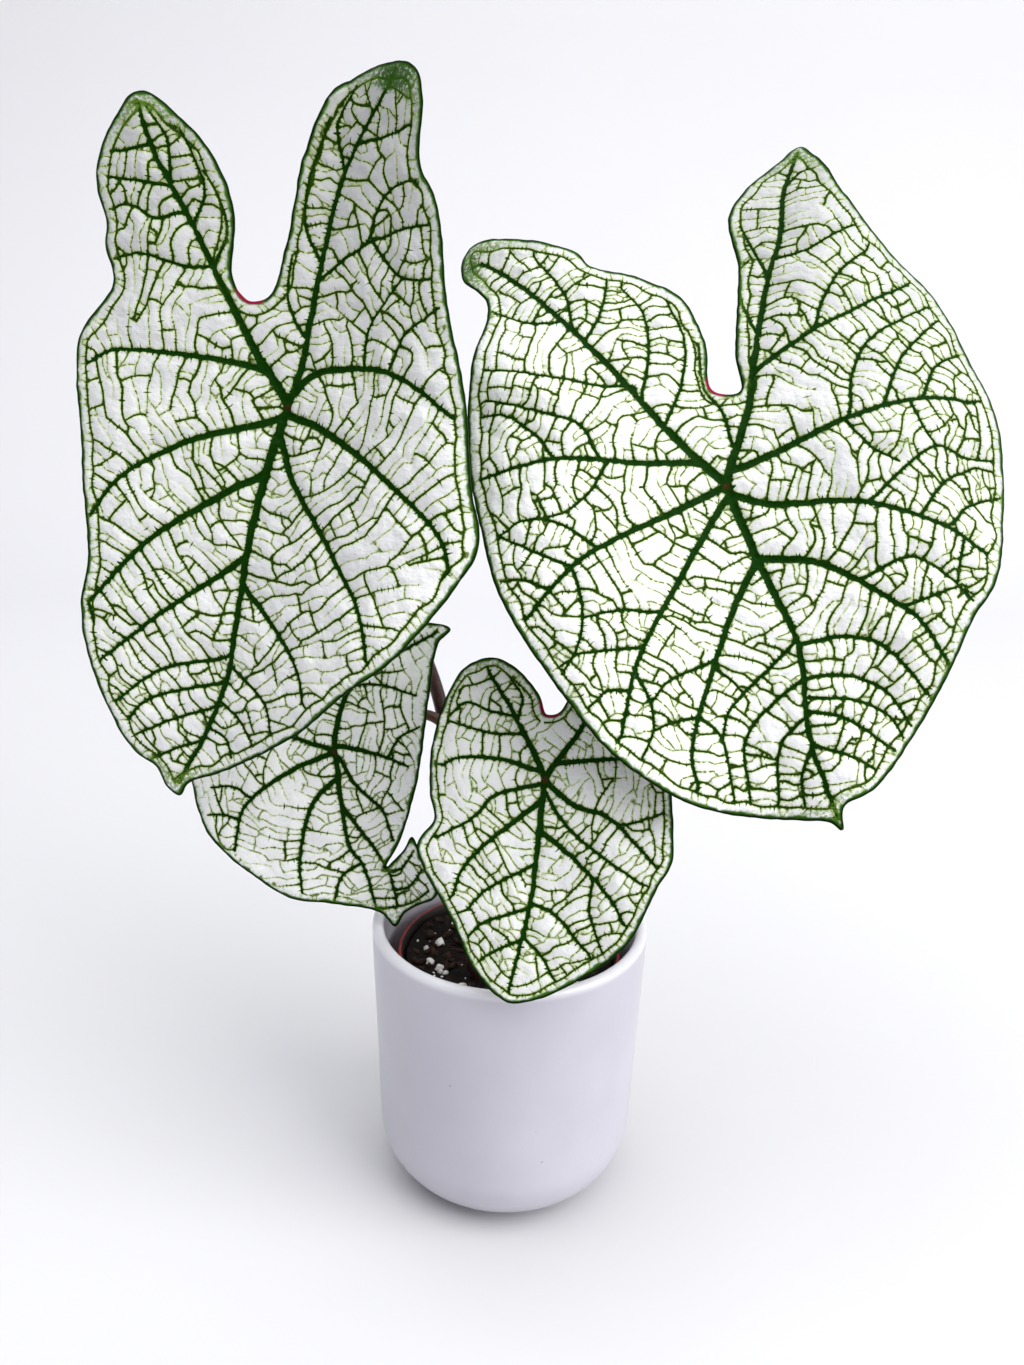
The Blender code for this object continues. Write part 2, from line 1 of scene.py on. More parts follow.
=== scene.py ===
"""Looks of the potted caladium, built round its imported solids.

Lengths are in millimetres up to the last step, where MM turns them into metres. Each leaf is drawn
flat in its own frame (x to the right, y towards the lobes, the stalk's joint at 0, 0), meshed along its
veins, and then raised to its form. The sizes and the formula of the form are those of the part's source.
"""

import math
import random

import bmesh
import bpy
import numpy as np
from mathutils import Matrix, Vector, kdtree, noise
from mathutils.geometry import delaunay_2d_cdt


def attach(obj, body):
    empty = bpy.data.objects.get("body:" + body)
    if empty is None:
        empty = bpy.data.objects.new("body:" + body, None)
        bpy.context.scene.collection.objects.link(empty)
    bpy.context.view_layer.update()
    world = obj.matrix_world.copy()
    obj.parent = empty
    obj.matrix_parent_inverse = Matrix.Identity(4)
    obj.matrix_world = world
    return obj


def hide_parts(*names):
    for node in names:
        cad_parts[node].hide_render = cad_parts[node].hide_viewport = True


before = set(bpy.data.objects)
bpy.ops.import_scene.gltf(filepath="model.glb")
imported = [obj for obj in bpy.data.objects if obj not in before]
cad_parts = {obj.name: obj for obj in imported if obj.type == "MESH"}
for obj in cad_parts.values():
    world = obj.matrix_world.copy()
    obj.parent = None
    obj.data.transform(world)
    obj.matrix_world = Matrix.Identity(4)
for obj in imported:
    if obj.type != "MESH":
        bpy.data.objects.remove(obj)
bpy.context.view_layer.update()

MM = 0.001
noise.seed_set(5)  # noise_vector starts from the clock otherwise

# Glazed pot, nursery pot, soil and tuber
POT_HEIGHT = 132.0
POT_RADIUS = 62.5
POT_LOW_RADIUS = 59.5
POT_CORNER = 32.0
POT_WALL = 5.2
POT_FLOOR = 9.0
NURSERY_TOP = 116.0
NURSERY_RADIUS = 49.6
NURSERY_BASE_RADIUS = 38.0
NURSERY_RIM = 51.0
NURSERY_WALL = 1.3
DRAIN_HOLES = 5
DRAIN_RADIUS = 4.0
DRAIN_RING = 25.0
SOIL_TOP = 108.0
CLEAR = 0.32            # between pieces that don't touch
TUBER = Vector((22.0, 22.0, 12.0))
TUBER_HEIGHT = 70.0
RIB_DEPTH = 2.6         # of the ribs at the back of a blade

PROFILE_STEP = 4.0      # longest step along a pot's profile
POT_STEPS = 144         # steps round it
SOIL_STEPS = 120        # steps round the soil, and rings from its middle to the wall
SOIL_RINGS = 44
STALK_STEP = 2.2        # between a stalk's rings
STALK_SIDES = 24
STRAIGHT = 10           # how far above the soil a stalk still runs straight
SQUARE_END = 9          # length of its end that is square to the blade
INTO_RIBS = 1.1         # how far behind the blade's face it ends

# Camera; its focal length is in the photograph's pixels
CAMERA = Vector((-1.9, -482.0, 414.0))
CAMERA_PITCH = 19.3
CAMERA_ROLL = -1.5
SENSOR = 36.0
FOCAL = 1200
PHOTO_HEIGHT = 1365

# Relief of a leaf
TISSUE = 0.55           # thickness between the veins
RIM = 0.35              # thickness at the very edge
SWELL = 1.1             # swelling between ribs
QUILT = 0.42            # swelling between the veins of the coarse net
FINE_QUILT = 0.36       # and between those of the fine one
FURROW = 0.30           # depth of the furrow over a rib
LUMPS = ((1.0, 0.05), (0.6, 0.12), (0.3, 0.3))  # sizes and scales of the tissue's lumps

# Steps and rasters
LINE_STEP = 1.3         # distance between mesh points along veins
EDGE_STEP = 1.15        # and along the outline
FILL_STEP = 1.15        # and between the veins
VEIN_APART = 37.3       # step from vein to vein in the run that their spurs follow, so that no two match
GROUP_APART = 4000.0    # and from group to group of veins
PITCH = 0.7             # raster of the places inside the leaf
GRAIN = 4               # pixels of it to one step of the field of rib directions
SQUARE = 4.5            # squares by which veins' points are found

# Ranks of veins, and their half widths at the foot and at the tip
RIB, BRANCH, COARSE, FINE = 1, 2, 3, 4
RIB_FOOT = 0.32         # share of a rib's drawn width
RIB_TIP = 0.115         # share of it too
RIB_TIP_LEAST = 0.40
BRANCH_FOOT = 0.60
BRANCH_TIP = 0.34
RING_HALF = 0.34        # of the vein along the margin
NET_HALF = {COARSE: (0.26, 0.40), FINE: (0.08, 0.15)}
LOOSE_RUNG = -0.15      # below zero at a loose end, so that the colour runs out before it
LOOSE_ARC = -0.10

# Growth of the net
ON_VEIN = 2.0           # how close a point is led to the vein it leaves
FREE_AHEAD = 1.7        # room that a new rung needs a little way out
ARC_ROOM = 4.5          # how far from the edge an arc starts
ARC_LENGTHS = (7, 15)
SPOKE_GAP = 3.4         # between the short lines from the margin's vein to the edge
MEET = 2.5              # distance at which a growing vein joins another one ahead of it
TOUCH = 1.3             # and that at which it joins one beside it
AHEAD = 0.4             # cosine of the widest angle that counts as ahead
STEADY = 0.8            # share of its heading that a growing vein keeps at each step
BEND = 0.055            # spread of its turns
KINK_CHANCE = 0.035     # chance of a sharper turn, and how sharp
KINK = 0.45
EDGE_ROOM = 1.5         # how close to the edge a vein may grow
LEAN = math.radians(8)  # of the veins that cross from rib to rib, towards the ribs' tips
WIDE_GAP = 8.8          # between coarse veins that leave a rib
FINE_GAP = 4.2          # and between fine ones
ROOT_REACH = 7.0        # how far a drawn vein's start may be from a rib and still be led to it
MARGIN_REACH = 9.0      # how far a rib's end may be from the margin's vein and still join it
SWAY = (0.15, 2.0, 1.2)     # scale, layer and size of the drift that bends grown veins together
WANDER = (0.28, 4.0, 0.55)  # and of the one that makes drawn lines look grown

# joint, turn, tip_up and roll place a leaf's frame. keel, the sides, the lobes, tip and waves shape it.
# reach is its size, net the scale of its veins, coarse the share of coarse ones that grow, and margin
# the depth of the vein along its edge. tips says how green the leaf's three ends are. tone and fade
# are painted light and shade: how light the tissue is painted for the light that falls on the leaf,
# and which way that painted lightness grows across it. Each rib is (width, points).
LEFT = dict(
    name="leaf_left", joint=(-91.6, -8.0, 358.4), turn=14, tip_up=19, roll=-9, reach=140, net=1.0,
    # tone and fade: painted light and shade, how light this leaf's tissue is painted and towards which
    # side
    tips=(0.45, 0.6, 1.3), tone=0.28, fade=(0.15, -0.38), coarse=0.85,
    margin=4.8, keel=0.26, side=50, side_left=4, side_right=14, lobes=10, lobe_left=12, lobe_right=12,
    tip=-9, waves=[(3.0, 5, 0.6)],
    outline=[(-24, 36), (-31, 42), (-34, 66), (-44, 83), (-57, 92), (-71, 97), (-82, 85), (-87, 65),
             (-81, 50), (-80, 41), (-75, 30), (-85, 5), (-76, -29), (-63, -77), (-63, -95), (-57, -117),
             (-38, -149), (-28, -154), (-24, -161), (-18, -164), (-14, -157), (-1, -149), (36, -121),
             (53, -101), (69, -84), (86, -50), (90, -34), (82, -12), (73, 17), (59, 47), (48, 80),
             (39, 92), (38, 110), (33, 120), (13, 123), (-3, 118), (-12, 95), (-14, 60), (-17, 39)],
    ribs=[
        (5.4, [(0, 0), (-2, -25), (-3, -60), (-2, -101), (-4, -117), (-9, -135), (-18, -158)]),
        (5.4, [(0, 0), (-20, 21), (-49, 58), (-66, 80), (-72, 93)]),
        (4.8, [(0, 0), (2, 15), (1, 47), (3, 84), (10, 101), (24, 120)]),
        (4.0, [(-11, 11), (-20, 12), (-47, 9), (-71, 4), (-78, -2)]),
        (4.6, [(-1, -4), (-37, -24), (-57, -43), (-65, -60)]),
        (4.6, [(-3, -27), (-15, -37), (-41, -63), (-60, -93)]),
        (3.6, [(-5, -62), (-29, -87), (-53, -115)]),
        (2.2, [(-3, -100), (-30, -113), (-45, -130)]),
        (2.0, [(-4, -111), (-33, -126), (-40, -136)]),
        (1.8, [(-5, -121), (-20, -130), (-34, -140)]),
        (1.6, [(-9, -136), (-21, -144), (-30, -151)]),
        (4.6, [(2, 6), (8, 14), (32, 20), (48, 18), (71, 8)]),
        (4.6, [(2, -3), (15, -5), (50, -19), (77, -36), (82, -46)]),
        (4.2, [(1, -13), (9, -26), (34, -50), (53, -71), (59, -86)]),
        (3.6, [(-3, -70), (28, -95), (35, -109)]),
        (2.0, [(-1, -104), (17, -115), (22, -126)]),
        (1.6, [(-4, -119), (5, -124), (14, -133)]),
        (1.6, [(-8, -131), (0, -134), (4, -141)]),
    ],
    branches=[
        [(-39, 44), (-47, 42), (-67, 42), (-76, 38)], [(-58, 68), (-69, 67), (-82, 66)],
        [(-53, 60), (-62, 56), (-72, 58), (-80, 55)], [(-67, 80), (-74, 77), (-82, 75)],
        [(-58, 71), (-61, 84), (-69, 92)], [(-48, 57), (-45, 70), (-56, 88)],
        [(-38, 45), (-35, 57), (-39, 68), (-44, 74)], [(2, 50), (13, 60), (34, 70), (45, 72)],
        [(9, 98), (21, 100), (33, 103)], [(21, 66), (23, 77), (29, 84), (38, 86)],
        [(23, 65), (38, 54), (50, 54)], [(30, 20), (28, 34), (38, 53)], [(41, 21), (44, 34), (56, 45)],
        [(-1, 58), (-8, 68), (-9, 86), (-5, 106)], [(-1, 29), (-9, 39), (-11, 56)],
        [(3, 91), (-2, 105), (4, 118)],
    ])

RIGHT = dict(
    name="leaf_right", joint=(78.6, -20.0, 334.3), turn=4, tip_up=32, roll=14, reach=130, net=1.0,
    # tone and fade: painted light and shade, how light this leaf's tissue is painted and towards which
    # side
    tips=(0.35, 0.9, 0.6), tone=0.42, fade=(-0.35, -0.35), coarse=0.85,
    margin=4.8, keel=0.18, side=45, side_left=10, side_right=10, lobes=-8, lobe_left=0, lobe_right=0,
    tip=-12, waves=[(4.5, 8, 0.3), (2.0, 13, 1.2)],
    outline=[(4, 41), (6, 63), (1, 86), (-13, 98), (-32, 106), (-36, 113), (-56, 125), (-76, 134),
             (-82, 131), (-84, 118), (-77, 104), (-77, 94), (-88, 68), (-96, 30), (-96, 5), (-94, -25),
             (-84, -53), (-64, -93), (-38, -116), (-2, -128), (11, -132), (15, -136), (17, -128),
             (30, -123), (50, -105), (64, -88), (78, -69), (89, -58), (101, -34), (108, -14), (109, 20),
             (104, 56), (99, 72), (82, 94), (73, 114), (70, 135), (66, 148), (57, 144), (44, 138),
             (30, 122), (27, 95), (16, 54), (14, 38)],
    ribs=[
        (5.2, [(0, 0), (5, -30), (9, -47), (13, -68), (10, -99), (14, -130)]),
        (5.4, [(0, 0), (-14, 21), (-37, 63), (-46, 78), (-65, 109), (-75, 122)]),
        (5.0, [(0, 0), (16, 31), (21, 46), (37, 86), (45, 101), (53, 124), (64, 144)]),
        (4.2, [(-9, 11), (-33, 15), (-65, 22), (-89, 22)]),
        (4.4, [(-4, -1), (-19, -6), (-53, -17), (-66, -23), (-85, -37)]),
        (4.0, [(-2, -6), (-39, -50), (-49, -64), (-59, -88)]),
        (4.2, [(5, -30), (-9, -50), (-34, -98), (-34, -111)]),
        (4.4, [(5, -30), (26, -37), (47, -55), (56, -64), (65, -84)]),
        (4.6, [(7, 6), (21, 9), (53, 16), (83, 18), (99, 15)]),
        (4.4, [(3, -5), (15, -11), (43, -17), (74, -33), (88, -46)]),
        (2.4, [(14, -66), (27, -66), (41, -71), (57, -95)]),
        (2.2, [(13, -79), (29, -81), (41, -89), (48, -103)]),
        (2.0, [(12, -91), (24, -96), (40, -111)]),
        (1.8, [(11, -103), (23, -110), (31, -116)]),
        (2.0, [(13, -63), (-17, -85), (-21, -94)]),
        (2.0, [(12, -79), (-12, -95), (-15, -118)]),
        (1.8, [(10, -93), (0, -100), (-5, -121)]),
        (3.0, [(20, 43), (46, 55), (62, 60), (90, 71)]),
    ],
    branches=[
        [(12, -86), (31, -91), (41, -99), (44, -107)], [(10, -104), (5, -113), (4, -124)],
        [(-19, -68), (-13, -75), (-10, -80)], [(-29, -85), (-22, -93), (-21, -116)],
        [(-26, 47), (-39, 50), (-82, 65)], [(-51, 82), (-63, 85), (-75, 94)],
        [(-45, 78), (-45, 93), (-54, 116)], [(-24, 43), (-17, 63), (-16, 82), (-22, 94)],
        [(-16, 32), (-7, 47), (-2, 66), (-5, 85)], [(-41, 71), (-33, 82), (-28, 94)],
        [(6, 17), (5, 32), (1, 42), (3, 62)], [(41, 92), (51, 91), (72, 97)],
        [(46, 55), (53, 67), (63, 78), (76, 86)], [(50, 16), (56, 33), (66, 46), (95, 60)],
        [(64, 18), (76, 36), (97, 53)], [(79, 18), (90, 32), (103, 38)],
        [(53, 125), (62, 132), (67, 131)], [(36, 85), (34, 104), (33, 115)],
        [(26, 59), (24, 76), (27, 93)], [(49, 14), (55, 2), (64, -6)],
        [(75, 15), (77, 5), (80, -2)], [(51, -18), (80, -2), (91, -7), (104, -9)],
        [(66, -28), (80, -16), (95, -11)], [(76, -34), (88, -26), (103, -23)],
        [(41, -47), (60, -43), (74, -56), (79, -63)], [(54, -60), (63, -59), (74, -57)],
        [(81, -39), (77, -48), (74, -56)], [(-63, 22), (-68, 33), (-78, 44), (-86, 47)],
        [(-46, 19), (-51, 34), (-63, 41), (-85, 53)], [(-54, -17), (-66, -5), (-79, 0), (-89, -3)],
        [(-65, -22), (-77, -14), (-89, -4)], [(-43, 17), (-52, 6), (-65, -1), (-77, -1)],
        [(-65, -23), (-64, -39), (-69, -53), (-76, -61)], [(-76, -28), (-84, -23), (-92, -21)],
        [(-45, -57), (-57, -56), (-69, -55)], [(-36, -45), (-50, -42), (-64, -42)],
        [(-53, -72), (-61, -71), (-68, -75)], [(-18, -65), (-38, -71), (-45, -77)],
        [(-49, -67), (-46, -77), (-47, -88), (-53, -97)], [(-29, -86), (-38, -86), (-47, -88)],
    ])

FRONT = dict(
    name="leaf_front", joint=(12.4, -40.0, 218.1), turn=14, tip_up=30, roll=5, reach=75, net=0.88,
    # tone and fade: painted light and shade, how light this leaf's tissue is painted and towards which
    # side
    tips=(0.0, 0.2, 0.1), tone=0.55, fade=(0.1, 0.1), coarse=0.4,
    margin=3.6, keel=0.18, side=20, side_left=6, side_right=8, lobes=4, lobe_left=0, lobe_right=0,
    tip=-14, waves=[(2.2, 7, 0.4)],
    outline=[(-1, 27), (-4, 34), (-15, 46), (-26, 49), (-35, 45), (-40, 38), (-46, 18), (-47, -6),
             (-44, -18), (-50, -27), (-49, -34), (-36, -56), (-25, -77), (-11, -88), (0, -86), (9, -82),
             (35, -63), (47, -40), (52, -30), (51, -4), (50, 25), (43, 39), (33, 47), (20, 48), (12, 43),
             (5, 28)],
    ribs=[
        (4.0, [(0, 0), (-2, -34), (-3, -46), (-11, -84)]),
        (4.2, [(0, 0), (-12, 23), (-25, 43)]),
        (4.2, [(0, 0), (13, 19), (27, 41)]),
        (3.0, [(-5, 4), (-15, 7), (-36, 7), (-42, 4)]),
        (2.6, [(-3, -2), (-21, -8), (-27, -16), (-42, -25)]),
        (3.4, [(-2, -9), (-30, -35), (-35, -48)]),
        (2.0, [(-2, -33), (-22, -45), (-29, -53)]),
        (2.0, [(-3, -50), (-23, -58), (-28, -63)]),
        (1.8, [(-5, -62), (-15, -67), (-22, -71)]),
        (3.2, [(7, 7), (32, 9), (44, 7)]),
        (3.6, [(2, -2), (13, -10), (26, -14), (46, -32)]),
        (2.2, [(1, -6), (8, -16), (18, -25), (40, -39)]),
        (3.2, [(0, -21), (10, -28), (29, -46), (34, -55)]),
        (2.0, [(-3, -49), (5, -52), (20, -67)]),
        (1.6, [(-4, -64), (2, -70), (6, -77)]),
    ],
    branches=[
        [(-14, 25), (-24, 27), (-34, 30), (-41, 24)], [(-11, 18), (-23, 18), (-40, 22)],
        [(-12, 23), (-11, 33), (-16, 41)], [(31, -17), (39, -15), (47, -12)],
        [(21, -39), (20, -50), (25, -65)],
    ])

BACK = dict(
    name="leaf_back", joint=(-80.0, 12.0, 206.0), turn=10, tip_up=20, roll=28, reach=85, net=0.92,
    # tone and fade: painted light and shade, how light this leaf's tissue is painted and towards which
    # side
    tips=(0.2, 0.0, 0.1), tone=0.95, fade=(0.2, 0.0), coarse=0.5,
    margin=3.8, keel=0.22, side=20, side_left=5, side_right=12, lobes=5, lobe_left=0, lobe_right=0,
    tip=-12, waves=[(2.5, 6, 0.9)],
    outline=[(51, 38), (62, 36), (69, 30), (62, 26), (49, 4), (28, -30), (10, -49), (0, -56), (11, -52),
             (18, -48), (18, -57), (18, -67), (17, -76), (0, -78), (-7, -82), (-10, -74), (-28, -61),
             (-41, -54), (-50, -45), (-65, -17), (-67, -6), (-64, 18), (-52, 45), (-39, 56), (-24, 60),
             (-11, 57), (0, 47), (11, 25), (19, 31), (30, 36)],
    ribs=[
        (3.4, [(0, 0), (-10, -42), (-8, -50), (-11, -73)]),
        (4.0, [(0, 0), (5, 9), (19, 23), (63, 31)]),
        (3.4, [(0, 0), (-16, 15), (-23, 29), (-27, 44)]),
        (3.6, [(-3, 0), (-19, 0), (-46, -7), (-58, -23)]),
        (3.4, [(-6, -12), (-17, -17), (-33, -39), (-37, -52)]),
        (2.0, [(-8, -50), (-18, -52), (-26, -61)]),
        (3.4, [(4, 1), (21, -11), (29, -19)]),
        (3.0, [(1, -4), (3, -17), (10, -32), (9, -46)]),
        (2.6, [(-6, -24), (-1, -44), (1, -58), (-2, -73)]),
    ],
    branches=[
        [(17, 23), (30, 20), (45, 8)], [(22, -12), (31, -6), (41, -5)],
        [(-52, -10), (-57, -6), (-63, -4)], [(-42, -4), (-47, 3), (-57, 7)],
        [(-1, -57), (7, -59), (16, -54)], [(-1, -66), (6, -68), (16, -63)],
        [(-6, -73), (4, -75), (14, -73)],
    ])

LEAVES = [LEFT, RIGHT, FRONT, BACK]

STALKS = [
    dict(name="petiole_left", leaf=0, out=(-0.25, 0.18, 0.95), radius=(3.7, 2.5),
         route=[(-25, 19, 165), (-34, 25, 226), (-49, 36, 263), (-68, 40, 312), (-80, 33, 340)]),
    dict(name="petiole_right", leaf=1, out=(0.24, 0.20, 0.95), radius=(3.6, 2.5),
         route=[(29, 21, 165), (50, 27, 228), (69, 28, 280), (79, 18, 309)]),
    dict(name="petiole_front", leaf=2, out=(0.20, -0.22, 0.955), radius=(3.0, 2.1),
         route=[(19, -13, 150), (23, -7, 180), (21, -9, 198)]),
    dict(name="petiole_back", leaf=3, out=(-0.22, -0.20, 0.955), radius=(3.0, 2.1),
         route=[(-17, -6, 160), (-21, 8, 204), (-35, 15, 222), (-52, 22, 221), (-66, 28, 214),
                (-76, 27, 205)]),
]


# Curves and the leaf's form

def through(points, closed=False, count=12):
    """Points on a smooth curve (centripetal Catmull-Rom) through the given ones."""
    given = [Vector(p) for p in points]
    last = len(given) - 1
    spans = last + 1 if closed else last
    curve = []
    for i in range(spans):
        p1 = given[i]
        p2 = given[(i + 1) % len(given)]
        p0 = given[i - 1] if closed or i > 0 else 2 * p1 - p2
        p3 = given[(i + 2) % len(given)] if closed or i + 2 <= last else 2 * p2 - p1
        t1 = math.sqrt((p1 - p0).length)
        t2 = t1 + math.sqrt((p2 - p1).length)
        t3 = t2 + math.sqrt((p3 - p2).length)
        for j in range(count):
            t = t1 + (t2 - t1) * j / count
            a1 = p0.lerp(p1, t / t1)
            a2 = p1.lerp(p2, (t - t1) / (t2 - t1))
            a3 = p2.lerp(p3, (t - t2) / (t3 - t2))
            b1 = a1.lerp(a2, t / t2)
            b2 = a2.lerp(a3, (t - t1) / (t3 - t1))
            curve.append(b1.lerp(b2, (t - t1) / (t2 - t1)))
    if not closed:
        curve.append(given[-1])
    return curve


def evenly(curve, step, closed=False):
    """The curve's points redrawn about one step apart."""
    line = curve + [curve[0]] if closed else curve
    lengths = [0.0]
    for a, b in zip(line, line[1:]):
        lengths.append(lengths[-1] + (b - a).length)
    count = max(2, round(lengths[-1] / step))
    points = []
    k = 0
    for i in range(count + 1):
        want = lengths[-1] * i / count
        while k < len(line) - 2 and lengths[k + 1] < want:
            k += 1
        share = (want - lengths[k]) / max(lengths[k + 1] - lengths[k], 1e-9)
        points.append(line[k].lerp(line[k + 1], share))
    return points[:-1] if closed else points


def leaf_frame(leaf):
    """Matrix of the blade's frame, in millimetres: x right, y towards the lobes, z out of the face."""
    turn, rise, roll = (math.radians(leaf[k]) for k in ("turn", "tip_up", "roll"))
    face = Vector((-math.sin(turn) * math.cos(rise), -math.cos(turn) * math.cos(rise), math.sin(rise)))
    right = Vector((0, 0, 1)).cross(face).normalized()
    up = face.cross(right)
    x_axis = right * math.cos(roll) + up * math.sin(roll)
    y_axis = up * math.cos(roll) - right * math.sin(roll)
    rows = Matrix((x_axis, y_axis, face)).transposed().to_4x4()
    return Matrix.Translation(leaf["joint"]) @ rows


def form(leaf, x, y):
    """Heights of the blade over its frame at arrays x, y: fold, fallen sides, lobes, tip and waves."""
    height = leaf["keel"] * (np.sqrt(x * x + 100) - 10)
    fallen = np.where(x < 0, leaf["side_left"], leaf["side_right"])
    height -= fallen * (np.maximum(0.0, np.abs(x) - leaf["side"]) / 40) ** 2
    lobe = np.where(x < 0, leaf["lobe_left"], leaf["lobe_right"])
    up = (np.maximum(0.0, y) / 100) ** 2
    down = (np.maximum(0.0, -y) / 100) ** 2
    height += (leaf["lobes"] + lobe * np.minimum(1.0, np.abs(x) / 40)) * up + leaf["tip"] * down
    angle = np.arctan2(y, x)
    swell = (np.hypot(x, y) / leaf["reach"]) ** 3
    for size, count, phase in leaf["waves"]:
        height += size * swell * np.sin(count * angle + phase)
    return height


# Meshes and materials

def add_object(name, data):
    obj = bpy.data.objects.new(name, data)
    bpy.context.scene.collection.objects.link(obj)
    return obj


def add_mesh(name, verts, faces, mat, replaced=()):
    """A smooth mesh piece from points in millimetres, riding with the plant."""
    mesh = bpy.data.meshes.new(name)
    mesh.from_pydata([tuple(p) for p in np.asarray(verts, float) * MM], [], faces)
    mesh.validate()
    mesh.shade_smooth()
    mesh.materials.append(mat)
    obj = add_object(name, mesh)
    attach(obj, "root")
    if replaced:
        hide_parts(*replaced)
    return obj


def set_attribute(mesh, name, values, kind="FLOAT"):
    layer = mesh.attributes.new(name, kind, "POINT")
    key = "vector" if kind == "FLOAT_VECTOR" else "value"
    layer.data.foreach_set(key, np.asarray(values, np.float32).ravel())


class Paint:
    """Short ways to lay out the nodes of one material."""

    def __init__(self, name):
        self.mat = bpy.data.materials.new(name)
        self.mat.use_nodes = True
        self.tree = self.mat.node_tree
        self.shader = self.tree.nodes["Principled BSDF"]

    def put(self, socket, value):
        """Gives an input a number, a colour or another node's output."""
        if isinstance(value, bpy.types.NodeSocket):
            self.tree.links.new(value, socket)
        elif isinstance(value, (tuple, list)) and len(value) == 3 and socket.type == "RGBA":
            socket.default_value = (*value, 1.0)
        else:
            socket.default_value = value

    def set(self, **values):
        for name, value in values.items():
            self.put(self.shader.inputs[name.replace("_", " ")], value)

    def node(self, kind, inputs, output=0, **settings):
        """One output of a new node whose inputs are given by name or number."""
        node = self.tree.nodes.new(kind)
        for name, value in settings.items():
            setattr(node, name, value)
        for key, value in inputs.items():
            self.put(node.inputs[key], value)
        return node.outputs[output]

    def attribute(self, name, output="Fac"):
        return self.node("ShaderNodeAttribute", {}, output, attribute_name=name)

    def place(self):
        return self.node("ShaderNodeTexCoord", {}, "Object")

    def axis(self, where, name):
        """One coordinate of a place: X, Y or Z."""
        return self.node("ShaderNodeSeparateXYZ", {0: where}, name)

    def stretched(self, where, scale):
        return self.node("ShaderNodeMapping", {"Vector": where, "Scale": scale})

    def math(self, operation, a, b=0.0):
        return self.node("ShaderNodeMath", {0: a, 1: b}, operation=operation)

    def plus(self, a, b):
        return self.math("ADD", a, b)

    def times(self, a, b):
        return self.math("MULTIPLY", a, b)

    def span(self, value, low, high, to_low=0.0, to_high=1.0):
        """The value's place between low and high, eased, as a number between the two ends given."""
        inputs = dict(enumerate((value, low, high, to_low, to_high)))
        return self.node("ShaderNodeMapRange", inputs, interpolation_type="SMOOTHSTEP")

    def noise(self, where, scale, detail=2.0, rough=0.5, axes="3D"):
        place = "W" if axes == "1D" else "Vector"
        inputs = {place: where, "Scale": scale, "Detail": detail, "Roughness": rough}
        return self.node("ShaderNodeTexNoise", inputs, noise_dimensions=axes)

    def cells(self, where, scale, feature="F1"):
        inputs = {"Vector": where, "Scale": scale}
        return self.node("ShaderNodeTexVoronoi", inputs, "Distance", feature=feature)

    def mix(self, share, a, b):
        """Colour between a and b; 6, 7 and 2 are the node's sockets for colours."""
        return self.node("ShaderNodeMix", {0: share, 6: a, 7: b}, 2, data_type="RGBA")

    def blend(self, value, low, high, a, b):
        """Colour a where the value is below low, b where it is above high."""
        return self.mix(self.span(value, low, high), a, b)

    def bump(self, height, strength, distance):
        inputs = {"Height": height, "Strength": strength, "Distance": distance}
        self.set(Normal=self.node("ShaderNodeBump", inputs))


# The leaf's veins

def square_to(way):
    return Vector((-way.y, way.x))


def drift(p, scale, layer, size):
    """Smooth random shift of the places around p."""
    where = Vector((p.x * scale, p.y * scale, layer))
    return noise.noise_vector(where).to_2d() * size


def vein(points, foot, tip, rank):
    """A drawn vein: its line, and its half width along it."""
    line = evenly(through(points), LINE_STEP)
    last = len(line) - 1
    half = [tip + (foot - tip) * (1 - i / last) ** 1.4 for i in range(last + 1)]
    return dict(line=line, half=half, rank=rank)


def rooted(points, veins):
    """The points of a drawn vein, led back to the nearest point of the veins that it leaves."""
    start = Vector(points[0])
    aim = start + (start - Vector(points[1])).normalized() * 3
    roots = [p for v in veins for p in v["line"]]
    root = min(roots, key=lambda p: (p - aim).length, default=start)
    return [root] + points if 0.6 < (root - start).length < ROOT_REACH else points


def search_tree(points):
    tree = kdtree.KDTree(len(points))
    for i, p in enumerate(points):
        tree.insert((p[0], p[1], 0.0), i)
    tree.balance()
    return tree


def distance(tree, p):
    """How far p is from the closest point of a search tree."""
    return tree.find((p[0], p[1], 0.0))[2]


def ring_inside(outline, depth):
    """Runs of the wavy vein that follows the outline about a given depth in."""
    tree = search_tree(outline)
    runs = [[]]
    count = len(outline)
    for i in range(count):
        ahead = (outline[(i + 2) % count] - outline[i - 2]).normalized()
        p = outline[i]
        wavy = depth * (1 + 0.4 * noise.noise(Vector((p.x * 0.11, p.y * 0.11, 7.0))))
        point = p + square_to(ahead) * wavy
        if distance(tree, point) > wavy * 0.93:
            runs[-1].append(point)
        elif runs[-1]:
            runs.append([])
    if runs[0] and runs[-1] and len(runs) > 1:
        runs[0] = runs.pop() + runs[0]
    return [run for run in runs if len(run) > 4]


